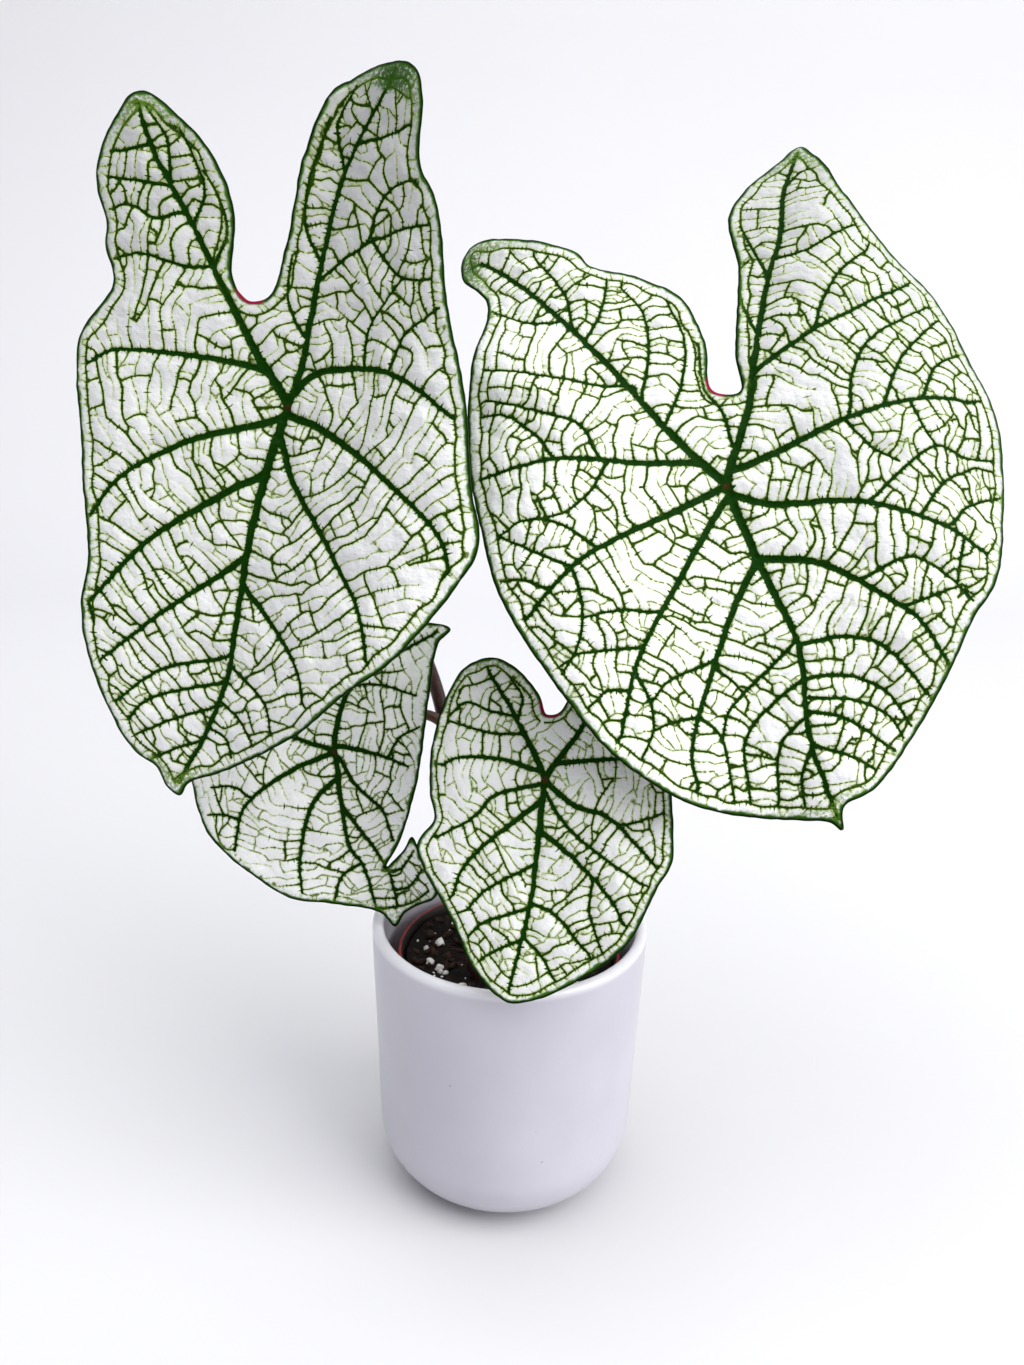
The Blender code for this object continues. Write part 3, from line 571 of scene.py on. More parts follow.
class Blade:
    """The flat leaf: which places lie inside, and which way the ribs run near them."""

    def __init__(self, outline, ribs):
        self.low = Vector((min(p.x for p in outline) - 2, min(p.y for p in outline) - 2))
        high = Vector((max(p.x for p in outline) + 2, max(p.y for p in outline) + 2))
        self.size = high - self.low
        x, y = np.meshgrid(np.arange(self.low.x, high.x, PITCH), np.arange(self.low.y, high.y, PITCH))
        self.mask = np.zeros(x.shape, bool)
        for a, b in zip(outline, outline[1:] + outline[:1]):
            if a.y != b.y:
                crosses = x < a.x + (y - a.y) / (b.y - a.y) * (b.x - a.x)
                self.mask ^= ((a.y > y) != (b.y > y)) & crosses
        # The way of the ribs, each weighed by its width and by how close it is
        spots = np.array([tuple(p) for rib in ribs for p in rib["line"][1:]])
        steps = np.array([tuple(b - a) for rib in ribs for a, b in zip(rib["line"], rib["line"][1:])])
        weight = np.array([rib["half"][0] for rib in ribs for _ in rib["line"][1:]])
        x, y = x[::GRAIN, ::GRAIN, None], y[::GRAIN, ::GRAIN, None]
        pull = weight / ((x - spots[:, 0]) ** 2 + (y - spots[:, 1]) ** 2 + 6.0) ** 1.5
        self.grain = np.arctan2((pull * steps[:, 1]).sum(2), (pull * steps[:, 0]).sum(2))

    def pixel(self, p, pitch, shape):
        """Row and column of p in a raster over the leaf."""
        row = round((p[1] - self.low.y) / pitch)
        column = round((p[0] - self.low.x) / pitch)
        return min(max(row, 0), shape[0] - 1), min(max(column, 0), shape[1] - 1)

    def holds(self, p):
        return self.mask[self.pixel(p, PITCH, self.mask.shape)]

    def way(self, p):
        """Unit vector along the ribs near p."""
        angle = self.grain[self.pixel(p, PITCH * GRAIN, self.grain.shape)]
        return Vector((math.cos(angle), math.sin(angle)))

    def along(self, p, heading):
        """The way of the ribs near p, to the heading's side."""
        way = self.way(p)
        return way if way.dot(heading) > 0 else -way

    def across(self, p, heading):
        """The way from rib to rib near p, leaning to their tips, to the heading's side."""
        way = self.way(p)
        square = square_to(way)
        side = square if square.dot(heading) > 0 else -square
        return side * math.cos(LEAN) + way * math.sin(LEAN)


class Net:
    """Veins that grow over a leaf until they meet others."""

    def __init__(self, leaf, outline, ribs, rings, draw):
        self.blade = Blade(outline, ribs)
        self.edge = search_tree(outline)
        self.draw = draw
        self.scale = leaf["net"]
        self.squares = {}
        self.grown = []
        for v in ribs + rings:
            self.note(v["line"], v["line"])

    def note(self, points, line):
        """Notes the points of a line by the square of the leaf they lie in, to find neighbours fast."""
        for p in points:
            self.squares.setdefault((p.x // SQUARE, p.y // SQUARE), []).append((p, line))

    def near(self, p, reach, own=None, heading=None):
        """The closest point within reach of any line but its own, ahead of p if a heading is given."""
        best = None
        column, row = p.x // SQUARE, p.y // SQUARE
        for i in (column - 1, column, column + 1):
            for j in (row - 1, row, row + 1):
                for q, line in self.squares.get((i, j), ()):
                    gap = (q - p).length
                    if gap >= reach or line is own:
                        continue
                    if heading is None or heading.dot(q - p) > AHEAD * gap:
                        best = q
                        reach = gap
        return best

    def step(self, v, follow):
        """Lengthens a vein by one step; says whether it may go on."""
        line = v["line"]
        heading = v["heading"]
        p = line[-1]
        bend = self.draw.gauss(0, BEND)
        if self.draw.random() < KINK_CHANCE:
            bend += self.draw.uniform(-KINK, KINK)
        way = heading * STEADY + follow(p, heading) * (1 - STEADY) + square_to(heading) * bend
        v["heading"] = way.normalized()
        q = p + v["heading"] * LINE_STEP
        if not self.blade.holds(q) or distance(self.edge, q) < EDGE_ROOM:
            return False
        hit = self.near(q, MEET * self.scale, line, v["heading"])
        hit = hit or self.near(q, TOUCH * self.scale, line)
        if hit is not None and (hit - line[0]).length > 3.0:
            line += evenly([p, hit], LINE_STEP)[1:]
            v["met"] = True
            return False
        line.append(q)
        return len(line) * LINE_STEP < v["length"] * self.scale

    def grow(self, starts, follow):
        """Veins from (place, heading, length), lengthened by turns until each meets another or is full."""
        veins = [dict(line=[p], heading=way, length=length, met=False) for p, way, length in starts]
        live = veins
        while live:
            going = []
            for v in live:
                before = len(v["line"])
                if self.step(v, follow):
                    going.append(v)
                self.note(v["line"][before:], v["line"])
            live = going
        return veins

    def keep(self, line, foot, tip, rank):
        """Notes a grown vein, its half width going evenly from foot to tip."""
        last = len(line) - 1
        if last > 0:
            half = [foot + (tip - foot) * i / last for i in range(last + 1)]
            self.grown.append(dict(line=line, half=half, rank=rank))

    def size(self, rank):
        """Half width for a vein of the coarse or the fine net."""
        return self.draw.uniform(*NET_HALF[rank]) * (0.2 + 0.8 * self.scale)

    def rungs(self, veins, gap, share, lengths, rank):
        """Veins that leave the given ones to both sides and lean towards their tips."""
        starts = []
        for v in veins:
            line = evenly(v["line"], gap * self.scale)
            for a, b in zip(line[1:], line[2:]):
                ahead = (b - a).normalized()
                for side in (1, -1):
                    point = a.lerp(b, self.draw.uniform(0, 0.6))
                    point = self.near(point, ON_VEIN) or point
                    lean = LEAN + math.radians(self.draw.uniform(-4, 12))
                    heading = square_to(ahead) * side * math.cos(lean) + ahead * math.sin(lean)
                    free = self.near(point + heading * 3, FREE_AHEAD * self.scale) is None
                    if free and self.draw.random() < share:
                        starts.append((point, heading, self.draw.uniform(*lengths)))
        for v in self.grow(starts, self.blade.across):
            half = self.size(rank)
            if len(v["line"]) > 2:
                self.keep(v["line"], half * 1.15, half * 0.8 if v["met"] else LOOSE_RUNG, rank)

    def arcs(self, room, tries):
        """Fine lines square to the ribs through places that no vein comes near."""
        for _ in range(tries):
            spot = (self.draw.random() * self.blade.size.x, self.draw.random() * self.blade.size.y)
            p = self.blade.low + Vector(spot)
            if not self.blade.holds(p) or distance(self.edge, p) < ARC_ROOM * self.scale:
                continue
            if self.near(p, room * self.scale) is not None:
                continue
            way = self.blade.across(p, Vector((0.3, 1)))
            length = self.draw.uniform(*ARC_LENGTHS)
            one, two = self.grow([(p, way, length), (p, -way, length)], self.blade.across)
            half = self.size(FINE)
            ends = [half if v["met"] else LOOSE_ARC for v in (one, two)]
            self.keep(one["line"][::-1] + two["line"][1:], *ends, FINE)

    def links(self, stem_points, spacing, least, length, rank):
        """Veins along the ribs' way from rung to rung, few beside the ribs and more between them."""
        far_from = search_tree(stem_points)
        joints = []
        rungs = [v for v in self.grown if v["rank"] <= rank]
        self.draw.shuffle(rungs)
        for rung in rungs:
            for p in rung["line"][2:-1]:
                far = distance(far_from, p) / self.scale
                if self.draw.random() > least + 0.6 * min(1.0, max(0.0, (far - 4) / 6)):
                    continue
                if any((p - q).length < spacing * self.scale for q in joints):
                    continue
                any_way = Vector((self.draw.uniform(-1, 1), self.draw.uniform(-1, 1)))
                v = dict(line=[p], heading=self.blade.along(p, any_way), length=length, met=False)
                while self.step(v, self.blade.along):
                    pass
                if v["met"] and len(v["line"]) > 2:
                    self.note(v["line"], v["line"])
                    half = self.size(rank)
                    self.keep(v["line"], half, half, rank)
                    joints += [p, v["line"][-1]]

    def spokes(self, rings):
        """Short lines from the margin's vein out to the edge."""
        for v in rings:
            line = evenly(v["line"], SPOKE_GAP * self.scale)
            for a, b in zip(line[1:], line[2:]):
                ahead = (b - a).normalized()
                if self.draw.random() < 0.6:
                    p = self.near(a, ON_VEIN) or a
                    way = (ahead * self.draw.uniform(-0.6, 0.6) - square_to(ahead)).normalized()
                    spoke = [p + way * LINE_STEP * i for i in range(6)]
                    spoke = [q for q in spoke if self.blade.holds(q) and distance(self.edge, q) > 0.9]
                    self.keep(spoke, self.size(FINE) * 0.8, 0.0, FINE)


def net(leaf, outline, stems, rings, draw):
    """Every generated vein of a leaf, from the ribs out."""
    growing = Net(leaf, outline, stems, rings, draw)
    stem_points = [p for v in stems for p in v["line"]]
    growing.rungs(stems, gap=WIDE_GAP, share=leaf["coarse"], lengths=(14, 40), rank=COARSE)
    growing.links(stem_points, spacing=9.5, least=0.0, length=14, rank=COARSE)
    growing.rungs(stems, gap=FINE_GAP, share=0.95, lengths=(7, 22), rank=FINE)
    growing.arcs(room=3.1, tries=4000)
    growing.links(stem_points, spacing=12.0, least=0.03, length=6, rank=FINE)
    growing.spokes(rings)
    fixed = search_tree(stem_points + [p for v in rings for p in v["line"]])
    for v in growing.grown:
        v["line"] = [p + drift(p, *SWAY) * min(1.0, distance(fixed, p) / 3) for p in v["line"]]
    return growing.grown


def tree_of(veins):
    """Search tree over the points of some veins, with the half width, run and foot width at each."""
    points = []
    facts = []
    for k, v in enumerate(veins):
        run = VEIN_APART * k
        for i, p in enumerate(v["line"]):
            points.append(p)
            facts.append((v["half"][i], run + i * LINE_STEP, v["half"][0]))
            if i + 1 < len(v["line"]):
                q = v["line"][i + 1]
                for share in (0.33, 0.67):
                    points.append(p.lerp(q, share))
                    half = v["half"][i] + (v["half"][i + 1] - v["half"][i]) * share
                    facts.append((half, run + (i + share) * LINE_STEP, v["half"][0]))
    return search_tree(points), facts


def nearest(veins, flat):
    """Distance, half width, run and foot width of the nearest vein at each flat point."""
    tree, facts = tree_of(veins)
    rows = np.empty((len(flat), 4))
    for i, p in enumerate(flat):
        _, k, gap = tree.find((p[0], p[1], 0.0))
        rows[i] = (gap, *facts[k])
    return rows.T


def reach_margin(v, rings, blade):
    """Leads a rib that ends close to the margin's vein into it."""
    end = v["line"][-1]
    ahead = (end - v["line"][-3]).normalized()
    goals = [q for ring in rings for q in ring["line"] if ahead.dot(q - end) > 0.6 * (q - end).length]
    goal = min(goals, key=lambda q: (q - end).length, default=end)
    more = evenly([end, goal], LINE_STEP)[1:]
    if 0.5 < (goal - end).length < MARGIN_REACH and all(blade.holds(p) for p in more):
        v["line"] += more
        v["half"] += [max(0.3, v["half"][-1] * 0.85 ** (i + 1)) for i in range(len(more))]


def flat_mesh(outline, veins, blade, draw):
    """The leaf meshed flat: along its outline and veins, with loose points in between."""
    points = list(outline)
    edges = [(i, (i + 1) % len(outline)) for i in range(len(outline))]
    for v in veins:
        first = len(points)
        points += v["line"]
        edges += [(i, i + 1) for i in range(first, len(points) - 1)]
    lines = search_tree(points)
    height = FILL_STEP * math.sin(math.radians(60))
    for row in range(int(blade.size.y / height)):
        for column in range(int(blade.size.x / FILL_STEP)):
            x = (column + 0.5 * (row % 2) + draw.uniform(-0.2, 0.2)) * FILL_STEP
            y = (row + draw.uniform(-0.2, 0.2)) * height
            p = blade.low + Vector((x, y))
            if blade.holds(p) and distance(lines, p) > FILL_STEP * 0.56:
                points.append(p)
    flat, _, faces, *_ = delaunay_2d_cdt(points, edges, [], 1, 1e-4)
    return points, edges, flat, faces


def cover_of(groups, flat):
    """The nearest veins of all groups, how deep each point lies in a vein, and its group and run."""
    found = [nearest(veins, flat) for veins in groups]
    covers = np.stack([half - gap for gap, half, _, _ in found])
    which = covers.argmax(0)
    everyone = np.arange(len(flat))
    run = np.stack([rows[2] for rows in found])[which, everyone] + GROUP_APART * which
    return found, covers.max(0), which, run


def drawn_veins(leaf, outline):
    """The ribs and branches, and the vein along the margin in its runs."""
    ribs = []
    for width, points in leaf["ribs"]:
        tip = max(RIB_TIP_LEAST, width * RIB_TIP)
        ribs.append(vein(rooted(points, ribs), width * RIB_FOOT, tip, RIB))
    branches = []
    for points in leaf["branches"]:
        foot = BRANCH_FOOT * leaf["net"]
        branches.append(vein(rooted(points, ribs + branches), foot, BRANCH_TIP, BRANCH))
    for v in ribs + branches:
        v["line"] = [p + drift(p, *WANDER) * 0.6 for p in v["line"]]
    rings = [evenly(run, LINE_STEP) for run in ring_inside(outline, leaf["margin"])]
    rings = [dict(line=line, half=[RING_HALF * leaf["net"]] * len(line), rank=COARSE) for line in rings]
    return ribs, branches, rings


def unwebbed(points, edges, flat, faces, groups):
    """The flat mesh again, with points amid triangles that would join two veins by a web."""
    _, cover, *_ = cover_of(groups, flat)
    flat = np.array([tuple(p) for p in flat])
    corners = np.array(faces)
    centres = flat[corners[(cover[corners] > 0).all(1)]].mean(1)
    _, centre_cover, *_ = cover_of(groups, centres)
    points += [Vector(c) for c, depth in zip(centres, centre_cover) if depth < -0.05]
    flat, _, faces, *_ = delaunay_2d_cdt(points, edges, [], 1, 1e-4)
    return np.array([tuple(p) for p in flat]), faces


def relief(leaf, flat, found, rim, seed):
    """Height of the face and thickness of the blade at each flat point."""
    rib, wide, slim = found
    x, y = flat.T
    # The tissue swells between the veins, less at the edge, and the ribs lie in furrows
    rim_fade = np.clip(rim / 3.0, 0, 1)
    height = form(leaf, x, y) + SWELL * np.clip(rib[0] / 6.0, 0, 1) * np.clip(rim / 14.0, 0, 1)
    height += QUILT * (1 - np.exp(-wide[0] / 1.5)) * rim_fade
    height += FINE_QUILT * (1 - np.exp(-slim[0] / 0.8)) * rim_fade
    height -= FURROW * np.exp(-(rib[0] / np.maximum(0.4, rib[1])) ** 2)
    # It is lumpy all over, and uneven along the edge
    for i, (px, py) in enumerate(flat):
        where = Vector((px, py, seed))
        lumps = sum(size * noise.noise(where * scale) for size, scale in LUMPS)
        height[i] += lumps * (0.4 + 0.6 * rim_fade[i])
        height[i] += 0.9 * noise.noise(where * 0.09 + Vector((9, 3, 1))) * math.exp(-rim[i] / 7)
    # Ribs and coarse veins stand out round at the back
    rib_round = np.sqrt(np.clip(1 - (rib[0] / np.maximum(0.3, rib[1] * 1.25)) ** 2, 0, 1))
    net_round = np.sqrt(np.clip(1 - (wide[0] / np.maximum(0.25, wide[1] * 1.3)) ** 2, 0, 1))
    thick = RIM + (TISSUE - RIM) * np.clip(rim / 2.0, 0, 1)
    thick += np.minimum(1.9, rib[1] * 0.95) * rib_round + 0.28 * net_round * rim_fade
    return height, thick


def two_sided(faces, count):
    """Faces of a sheet's front, of its back, whose points follow the front's, and of the edge."""
    sides = {(a, b) for face in faces for a, b in zip(face, face[1:] + face[:1])}
    closed = [tuple(f) for f in faces]
    closed += [tuple(i + count for i in reversed(f)) for f in faces]
    return closed + [(b, a, a + count, b + count) for a, b in sides if (b, a) not in sides]


def leaf_piece(leaf, mat, seed):
    """A blade meshed along its outline and veins, with what its material reads at each point."""
    draw = random.Random(seed)
    outline = evenly(through(leaf["outline"], closed=True), EDGE_STEP, closed=True)
    outline = [p + drift(p, *WANDER) * 0.5 for p in outline]
    ribs, branches, rings = drawn_veins(leaf, outline)
    stems = ribs + branches
    blade = Blade(outline, ribs)
    for v in stems:
        reach_margin(v, rings, blade)
    grown = net(leaf, outline, stems, rings, draw)
    coarse = [v for v in grown if v["rank"] == COARSE] + rings
    fine = [v for v in grown if v["rank"] == FINE]
    groups = [stems, coarse, fine]
    flat, faces = unwebbed(*flat_mesh(outline, stems + coarse + fine, blade, draw), groups)

    found, cover, which, run = cover_of(groups, flat)
    x, y = flat.T
    edge = search_tree(outline)
    rim = np.array([distance(edge, p) for p in flat])
    height, thick = relief(leaf, flat, found, rim, seed)
    place = np.array(leaf_frame(leaf))[:3].T
    count = len(flat)
    top = np.stack([x, y, height, np.ones(count)], 1) @ place
    bottom = np.stack([x, y, height - thick, np.ones(count)], 1) @ place
    obj = add_mesh(leaf["name"] + "_blade", np.vstack([top, bottom]), two_sided(faces, count), mat,
                   [leaf["name"]])

    # What the material reads at each point
    foot_widths = [rows[3] for rows in found]
    strong = np.choose(which, [np.clip(0.3 + foot_widths[0] * 0.33, 0, 1), 0.18 + 0.35 * foot_widths[1],
                               np.full(count, 0.05)])
    notch_x, notch_y = leaf["outline"][0]
    ends = [(rib["line"][-1], green) for rib, green in zip(ribs, leaf["tips"])]
    marks = dict(
        cover=cover, run=run, strong=strong, rim=rim, hub=np.hypot(x, y),
        notch=np.hypot(x - notch_x, y - notch_y),
        # tone: painted light and shade, lighter or darker per leaf and towards the side that fade gives
        tone=leaf["tone"] + (leaf["fade"][0] * x + leaf["fade"][1] * y) / leaf["reach"],
        tip=np.max([green * np.exp(-(np.hypot(x - end.x, y - end.y) / 14) ** 2) for end, green in ends],
                   axis=0))
    for name, values in marks.items():
        set_attribute(obj.data, name, np.concatenate([values, values]))
    set_attribute(obj.data, "under", np.repeat([0.0, 1.0], count))
    both = np.tile(np.stack([x, y, np.full(count, seed * 300.0)], 1), (2, 1))
    set_attribute(obj.data, "flat", both, "FLOAT_VECTOR")


def leaf_paint():
    """White tissue with a feathered net of green veins, greener at the edge and crimson in the notch."""
    p = Paint("leaf")
    flat = p.attribute("flat", "Vector")
    strong = p.attribute("strong")
    rim = p.attribute("rim")
    run = p.attribute("run")
    tip = p.attribute("tip")
    # tone carries painted light and shade: how light each part of the tissue is painted
    tone = p.attribute("tone")
    # Ragged sides of the veins: spurs across them, set by the run along the vein, and a little roughness
    spur = p.math("POWER", p.times(p.noise(run, 1.1, 1.0, 0.6, "1D"), 1.42), 8.0)
    spur = p.times(p.plus(p.times(spur, 1.9), 0.12), strong)
    rough = p.times(p.plus(p.noise(flat, 1.6, 2.0, 0.6), -0.5), 0.40)
    # Fine veins are broken into dashes
    dashes = p.span(p.noise(run, 0.6, 2.0, 0.6, "1D"), 0.36, 0.52, -0.24, 0.06)
    dashes = p.times(dashes, p.span(strong, 0.06, 0.30, 1.0, 0.0))
    depth = p.plus(p.plus(p.attribute("cover"), spur), p.plus(rough, dashes))
    vein_share = p.span(depth, -0.09, 0.09)
    halo = p.span(depth, -0.65, 0.0, 0.0, 0.7)

    # Tissue: white with faint broken threads, yellower beside the veins. Large grey clouds over it are
    # painted soft shade, and tone is the painted light and shade of each leaf and of its sides.
    bright = p.mix(tone, (0.50, 0.505, 0.50), (0.90, 0.905, 0.895))
    painted_shade_tissue = p.mix(tone, (0.45, 0.455, 0.465), (0.81, 0.815, 0.825))
    white = p.blend(p.noise(flat, 0.05, 3.0, 0.55), 0.35, 0.7, painted_shade_tissue, bright)
    grain = p.noise(flat, 0.55, 3.0, 0.6)
    white = p.mix(p.span(grain, 0.5, 0.8, 0.0, 0.3), white, (0.52, 0.53, 0.56))
    threads = p.span(p.cells(flat, 0.55, "DISTANCE_TO_EDGE"), 0.0, 0.05, 0.45, 0.0)
    broken = p.span(p.noise(flat, 0.6, 2.0, 0.5), 0.56, 0.64)
    white = p.mix(p.times(threads, broken), white, (0.22, 0.32, 0.10))
    tissue = p.mix(halo, white, (0.36, 0.49, 0.06))

    # Veins: dark green ribs, a little yellower in the net
    fleck = p.noise(flat, 1.1, 2.0, 0.6)
    dark = p.mix(fleck, (0.0008, 0.012, 0.0002), (0.005, 0.040, 0.0004))
    light = p.mix(fleck, (0.013, 0.038, 0.001), (0.050, 0.092, 0.003))
    colour = p.mix(vein_share, tissue, p.blend(strong, 0.10, 0.5, light, dark))

    # Mottled green margin, wider and darker at the leaf's tips, with a dark line at the very edge
    band = p.span(p.plus(rim, p.times(tip, -7.0)), 0.6, 4.0, 1.0, 0.0)
    mottle = p.span(p.plus(p.noise(flat, 0.75, 3.0, 0.65), p.times(tip, 0.10)), 0.44, 0.60)
    share = p.times(p.times(band, mottle), p.plus(0.62, p.times(tip, 0.38)))
    colour = p.mix(share, colour, p.mix(tip, (0.17, 0.30, 0.035), (0.030, 0.095, 0.006)))
    line = p.plus(rim, p.times(p.plus(p.noise(flat, 0.2, 3.0), -0.5), 2.4))
    line = p.span(line, 1.0, 2.0, 1.0, 0.0)
    edge = p.blend(rim, 0.4, 1.3, (0.002, 0.012, 0.0005), (0.030, 0.10, 0.004))
    colour = p.mix(line, colour, edge)
    # Crimson in the notch between the lobes, and a maroon spot over the stalk
    notch = p.span(p.attribute("notch"), 4.0, 7.0, 1.0, 0.0)
    colour = p.mix(p.times(notch, p.span(rim, 0.9, 1.6, 1.0, 0.0)), colour, (0.20, 0.004, 0.030))
    colour = p.mix(p.span(p.attribute("hub"), 0.6, 2.0, 0.7, 0.0), colour, (0.055, 0.012, 0.006))
    # The underside is paler
    colour = p.mix(p.times(p.attribute("under"), 0.35), colour, (0.42, 0.52, 0.36))
    p.set(Base_Color=colour, Roughness=p.span(grain, 0.2, 0.9, 0.42, 0.6),
          Specular_IOR_Level=p.span(p.math("MAXIMUM", vein_share, line), 0.0, 1.0, 0.35, 0.03))
    p.bump(p.plus(p.noise(flat, 0.45, 4.0, 0.55), p.times(vein_share, -0.30)), 0.6, 0.0010)
    return p.mat


# Stalks

def tuber_point(out):
    """Point of the tuber's surface where it faces the given way."""
    n = Vector(out).normalized()
    stretched = Vector((n.x * TUBER.x ** 2, n.y * TUBER.y ** 2, n.z * TUBER.z ** 2))
    size = math.sqrt(sum((n[i] * TUBER[i]) ** 2 for i in range(3)))
    return stretched / size + Vector((0, 0, TUBER_HEIGHT)), n


def stalk_line(stalk):
    """Centre line of a stalk from the tuber to a little way into the ribs at its blade's back."""
    foot, out = tuber_point(stalk["out"])
    foot = foot + out * CLEAR
    rise = (SOIL_TOP + STRAIGHT - foot.z) / out.z
    leaf = LEAVES[stalk["leaf"]]
    place = leaf_frame(leaf)
    back = stalk["radius"][1] * leaf["keel"] * 0.2 + RIB_DEPTH + CLEAR
    under = place @ Vector((0, 0, -back - SQUARE_END))
    free = through([foot + out * rise, *stalk["route"], under, place @ Vector((0, 0, -back))])
    end = place @ Vector((0, 0, -INTO_RIBS))
    return evenly([foot] + free + [end], STALK_STEP)


def tube_mesh(line, radii, sides):
    """Points and faces of a round tube with its ends closed, its rings turned as little as possible."""
    verts = []
    faces = []
    side = Vector((1, 0, 0))
    last = len(line) - 1
    for i, p in enumerate(line):
        ahead = (line[min(i + 1, last)] - line[max(i - 1, 0)]).normalized()
        side = (side - ahead * side.dot(ahead)).normalized()
        other = ahead.cross(side)
        for j in range(sides):
            a = math.tau * j / sides
            verts.append(p + (side * math.cos(a) + other * math.sin(a)) * radii[i][j])
    for i in range(last):
        for j in range(sides):
            k = (j + 1) % sides
            faces.append((i * sides + j, i * sides + k, (i + 1) * sides + k, (i + 1) * sides + j))
    faces.append(tuple(reversed(range(sides))))
    faces.append(tuple(last * sides + j for j in range(sides)))
    return verts, faces


def stalk_piece(stalk, mat):
    """A stalk, slightly ribbed and lumpy, that widens where it meets its blade."""
    line = stalk_line(stalk)
    last = len(line) - 1
    low, high = stalk["radius"]
    turns = [math.tau * j / STALK_SIDES for j in range(STALK_SIDES)]
    radii = []
    for i in range(last + 1):
        base = low + (high - low) * min(1.0, i / last * 1.1)
        base *= 1 + 0.45 * math.exp(-(last - i) * STALK_STEP / 3.0)
        ring = []
        for a in turns:
            lump = noise.noise(Vector((math.cos(a), math.sin(a), i * 0.12 + stalk["leaf"] * 9)))
            ring.append(base * (1 + 0.014 * math.cos(9 * a) + 0.03 * lump))
        radii.append(ring)
    verts, faces = tube_mesh(line, radii, STALK_SIDES)
    obj = add_mesh(stalk["name"] + "_stalk", verts, faces, mat, [stalk["name"]])
    steps = np.repeat(np.arange(last + 1), STALK_SIDES)
    set_attribute(obj.data, "along", steps / last)
    around = np.tile(turns, last + 1)
    skin = np.stack([np.cos(around) * 3, np.sin(around) * 3, steps * STALK_STEP], 1)
    set_attribute(obj.data, "skin", skin, "FLOAT_VECTOR")


def stalk_paint():
    """Dark maroon skin, streaked and mottled, browner towards the blade."""
    p = Paint("petiole")
    skin = p.attribute("skin", "Vector")
    along = p.attribute("along")
    streak = p.noise(p.stretched(skin, (1.0, 1.0, 0.06)), 1.2, 4.0, 0.6)
    mottle = p.noise(p.stretched(skin, (1.0, 1.0, 0.4)), 0.5, 4.0, 0.65)
    low = p.blend(streak, 0.35, 0.7, (0.020, 0.004, 0.006), (0.075, 0.014, 0.014))
    high = p.blend(streak, 0.3, 0.7, (0.070, 0.016, 0.012), (0.19, 0.075, 0.035))
    colour = p.mix(p.span(along, 0.35, 0.95), low, high)
    colour = p.mix(p.span(mottle, 0.56, 0.68, 0.0, 0.45), colour, (0.15, 0.10, 0.035))
    p.set(Base_Color=colour, Roughness=p.span(streak, 0.2, 0.8, 0.30, 0.46),
          Subsurface_Weight=0.05, Subsurface_Scale=0.002)
    p.bump(streak, 0.35, 0.0003)
    return p.mat


# Pots

def arc(centre, radius, start, end, count):
    """Points (radius, height) on an arc, its angles in degrees from the outward direction."""
    points = []
    for i in range(count + 1):
        a = math.radians(start + (end - start) * i / count)
        points.append((centre[0] + radius * math.cos(a), centre[1] + radius * math.sin(a)))
    return points


def finer(profile, step):
    """The profile with points no further apart than a step."""
    points = [profile[0]]
    for (r0, z0), (r1, z1) in zip(profile, profile[1:]):
        parts = max(1, math.ceil(math.hypot(r1 - r0, z1 - z0) / step))
        points += [(r0 + (r1 - r0) * k / parts, z0 + (z1 - z0) * k / parts) for k in range(1, parts + 1)]
    return points


def turned(profile, steps, wobble=None):
    """Points and faces of a turned shape; the profile starts and ends on the axis."""
    verts = [(0.0, 0.0, profile[0][1])]
    for r, z in profile[1:-1]:
        for j in range(steps):
            a = math.tau * j / steps
            extra = wobble(r, z, a) if wobble else 0.0
            verts.append(((r + extra) * math.cos(a), (r + extra) * math.sin(a), z))
    verts.append((0.0, 0.0, profile[-1][1]))
    rings = len(profile) - 2
    faces = []
    for j in range(steps):
        k = (j + 1) % steps
        faces.append((0, 1 + j, 1 + k))
        for i in range(rings - 1):
            a = 1 + i * steps
            faces.append((a + j, a + steps + j, a + steps + k, a + k))
        low = 1 + (rings - 1) * steps
        faces.append((low + j, len(verts) - 1, low + k))
    return verts, faces


def inner_corner():
    """Centre and radius of the round corner inside the glazed pot."""
    radius = POT_CORNER - POT_WALL
    return (POT_LOW_RADIUS - POT_WALL - radius, POT_FLOOR + radius), radius


def pot_wobble(r, z, a):
    """Small unevenness of a glazed wall."""
    where = Vector((math.cos(a) * 1.4, math.sin(a) * 1.4, z * 0.022))
    fine = Vector((math.cos(a) * 5.5, math.sin(a) * 5.5, z * 0.09 + 4))
    return (0.22 * noise.noise(where) + 0.06 * noise.noise(fine)) * min(1.0, r / 20)


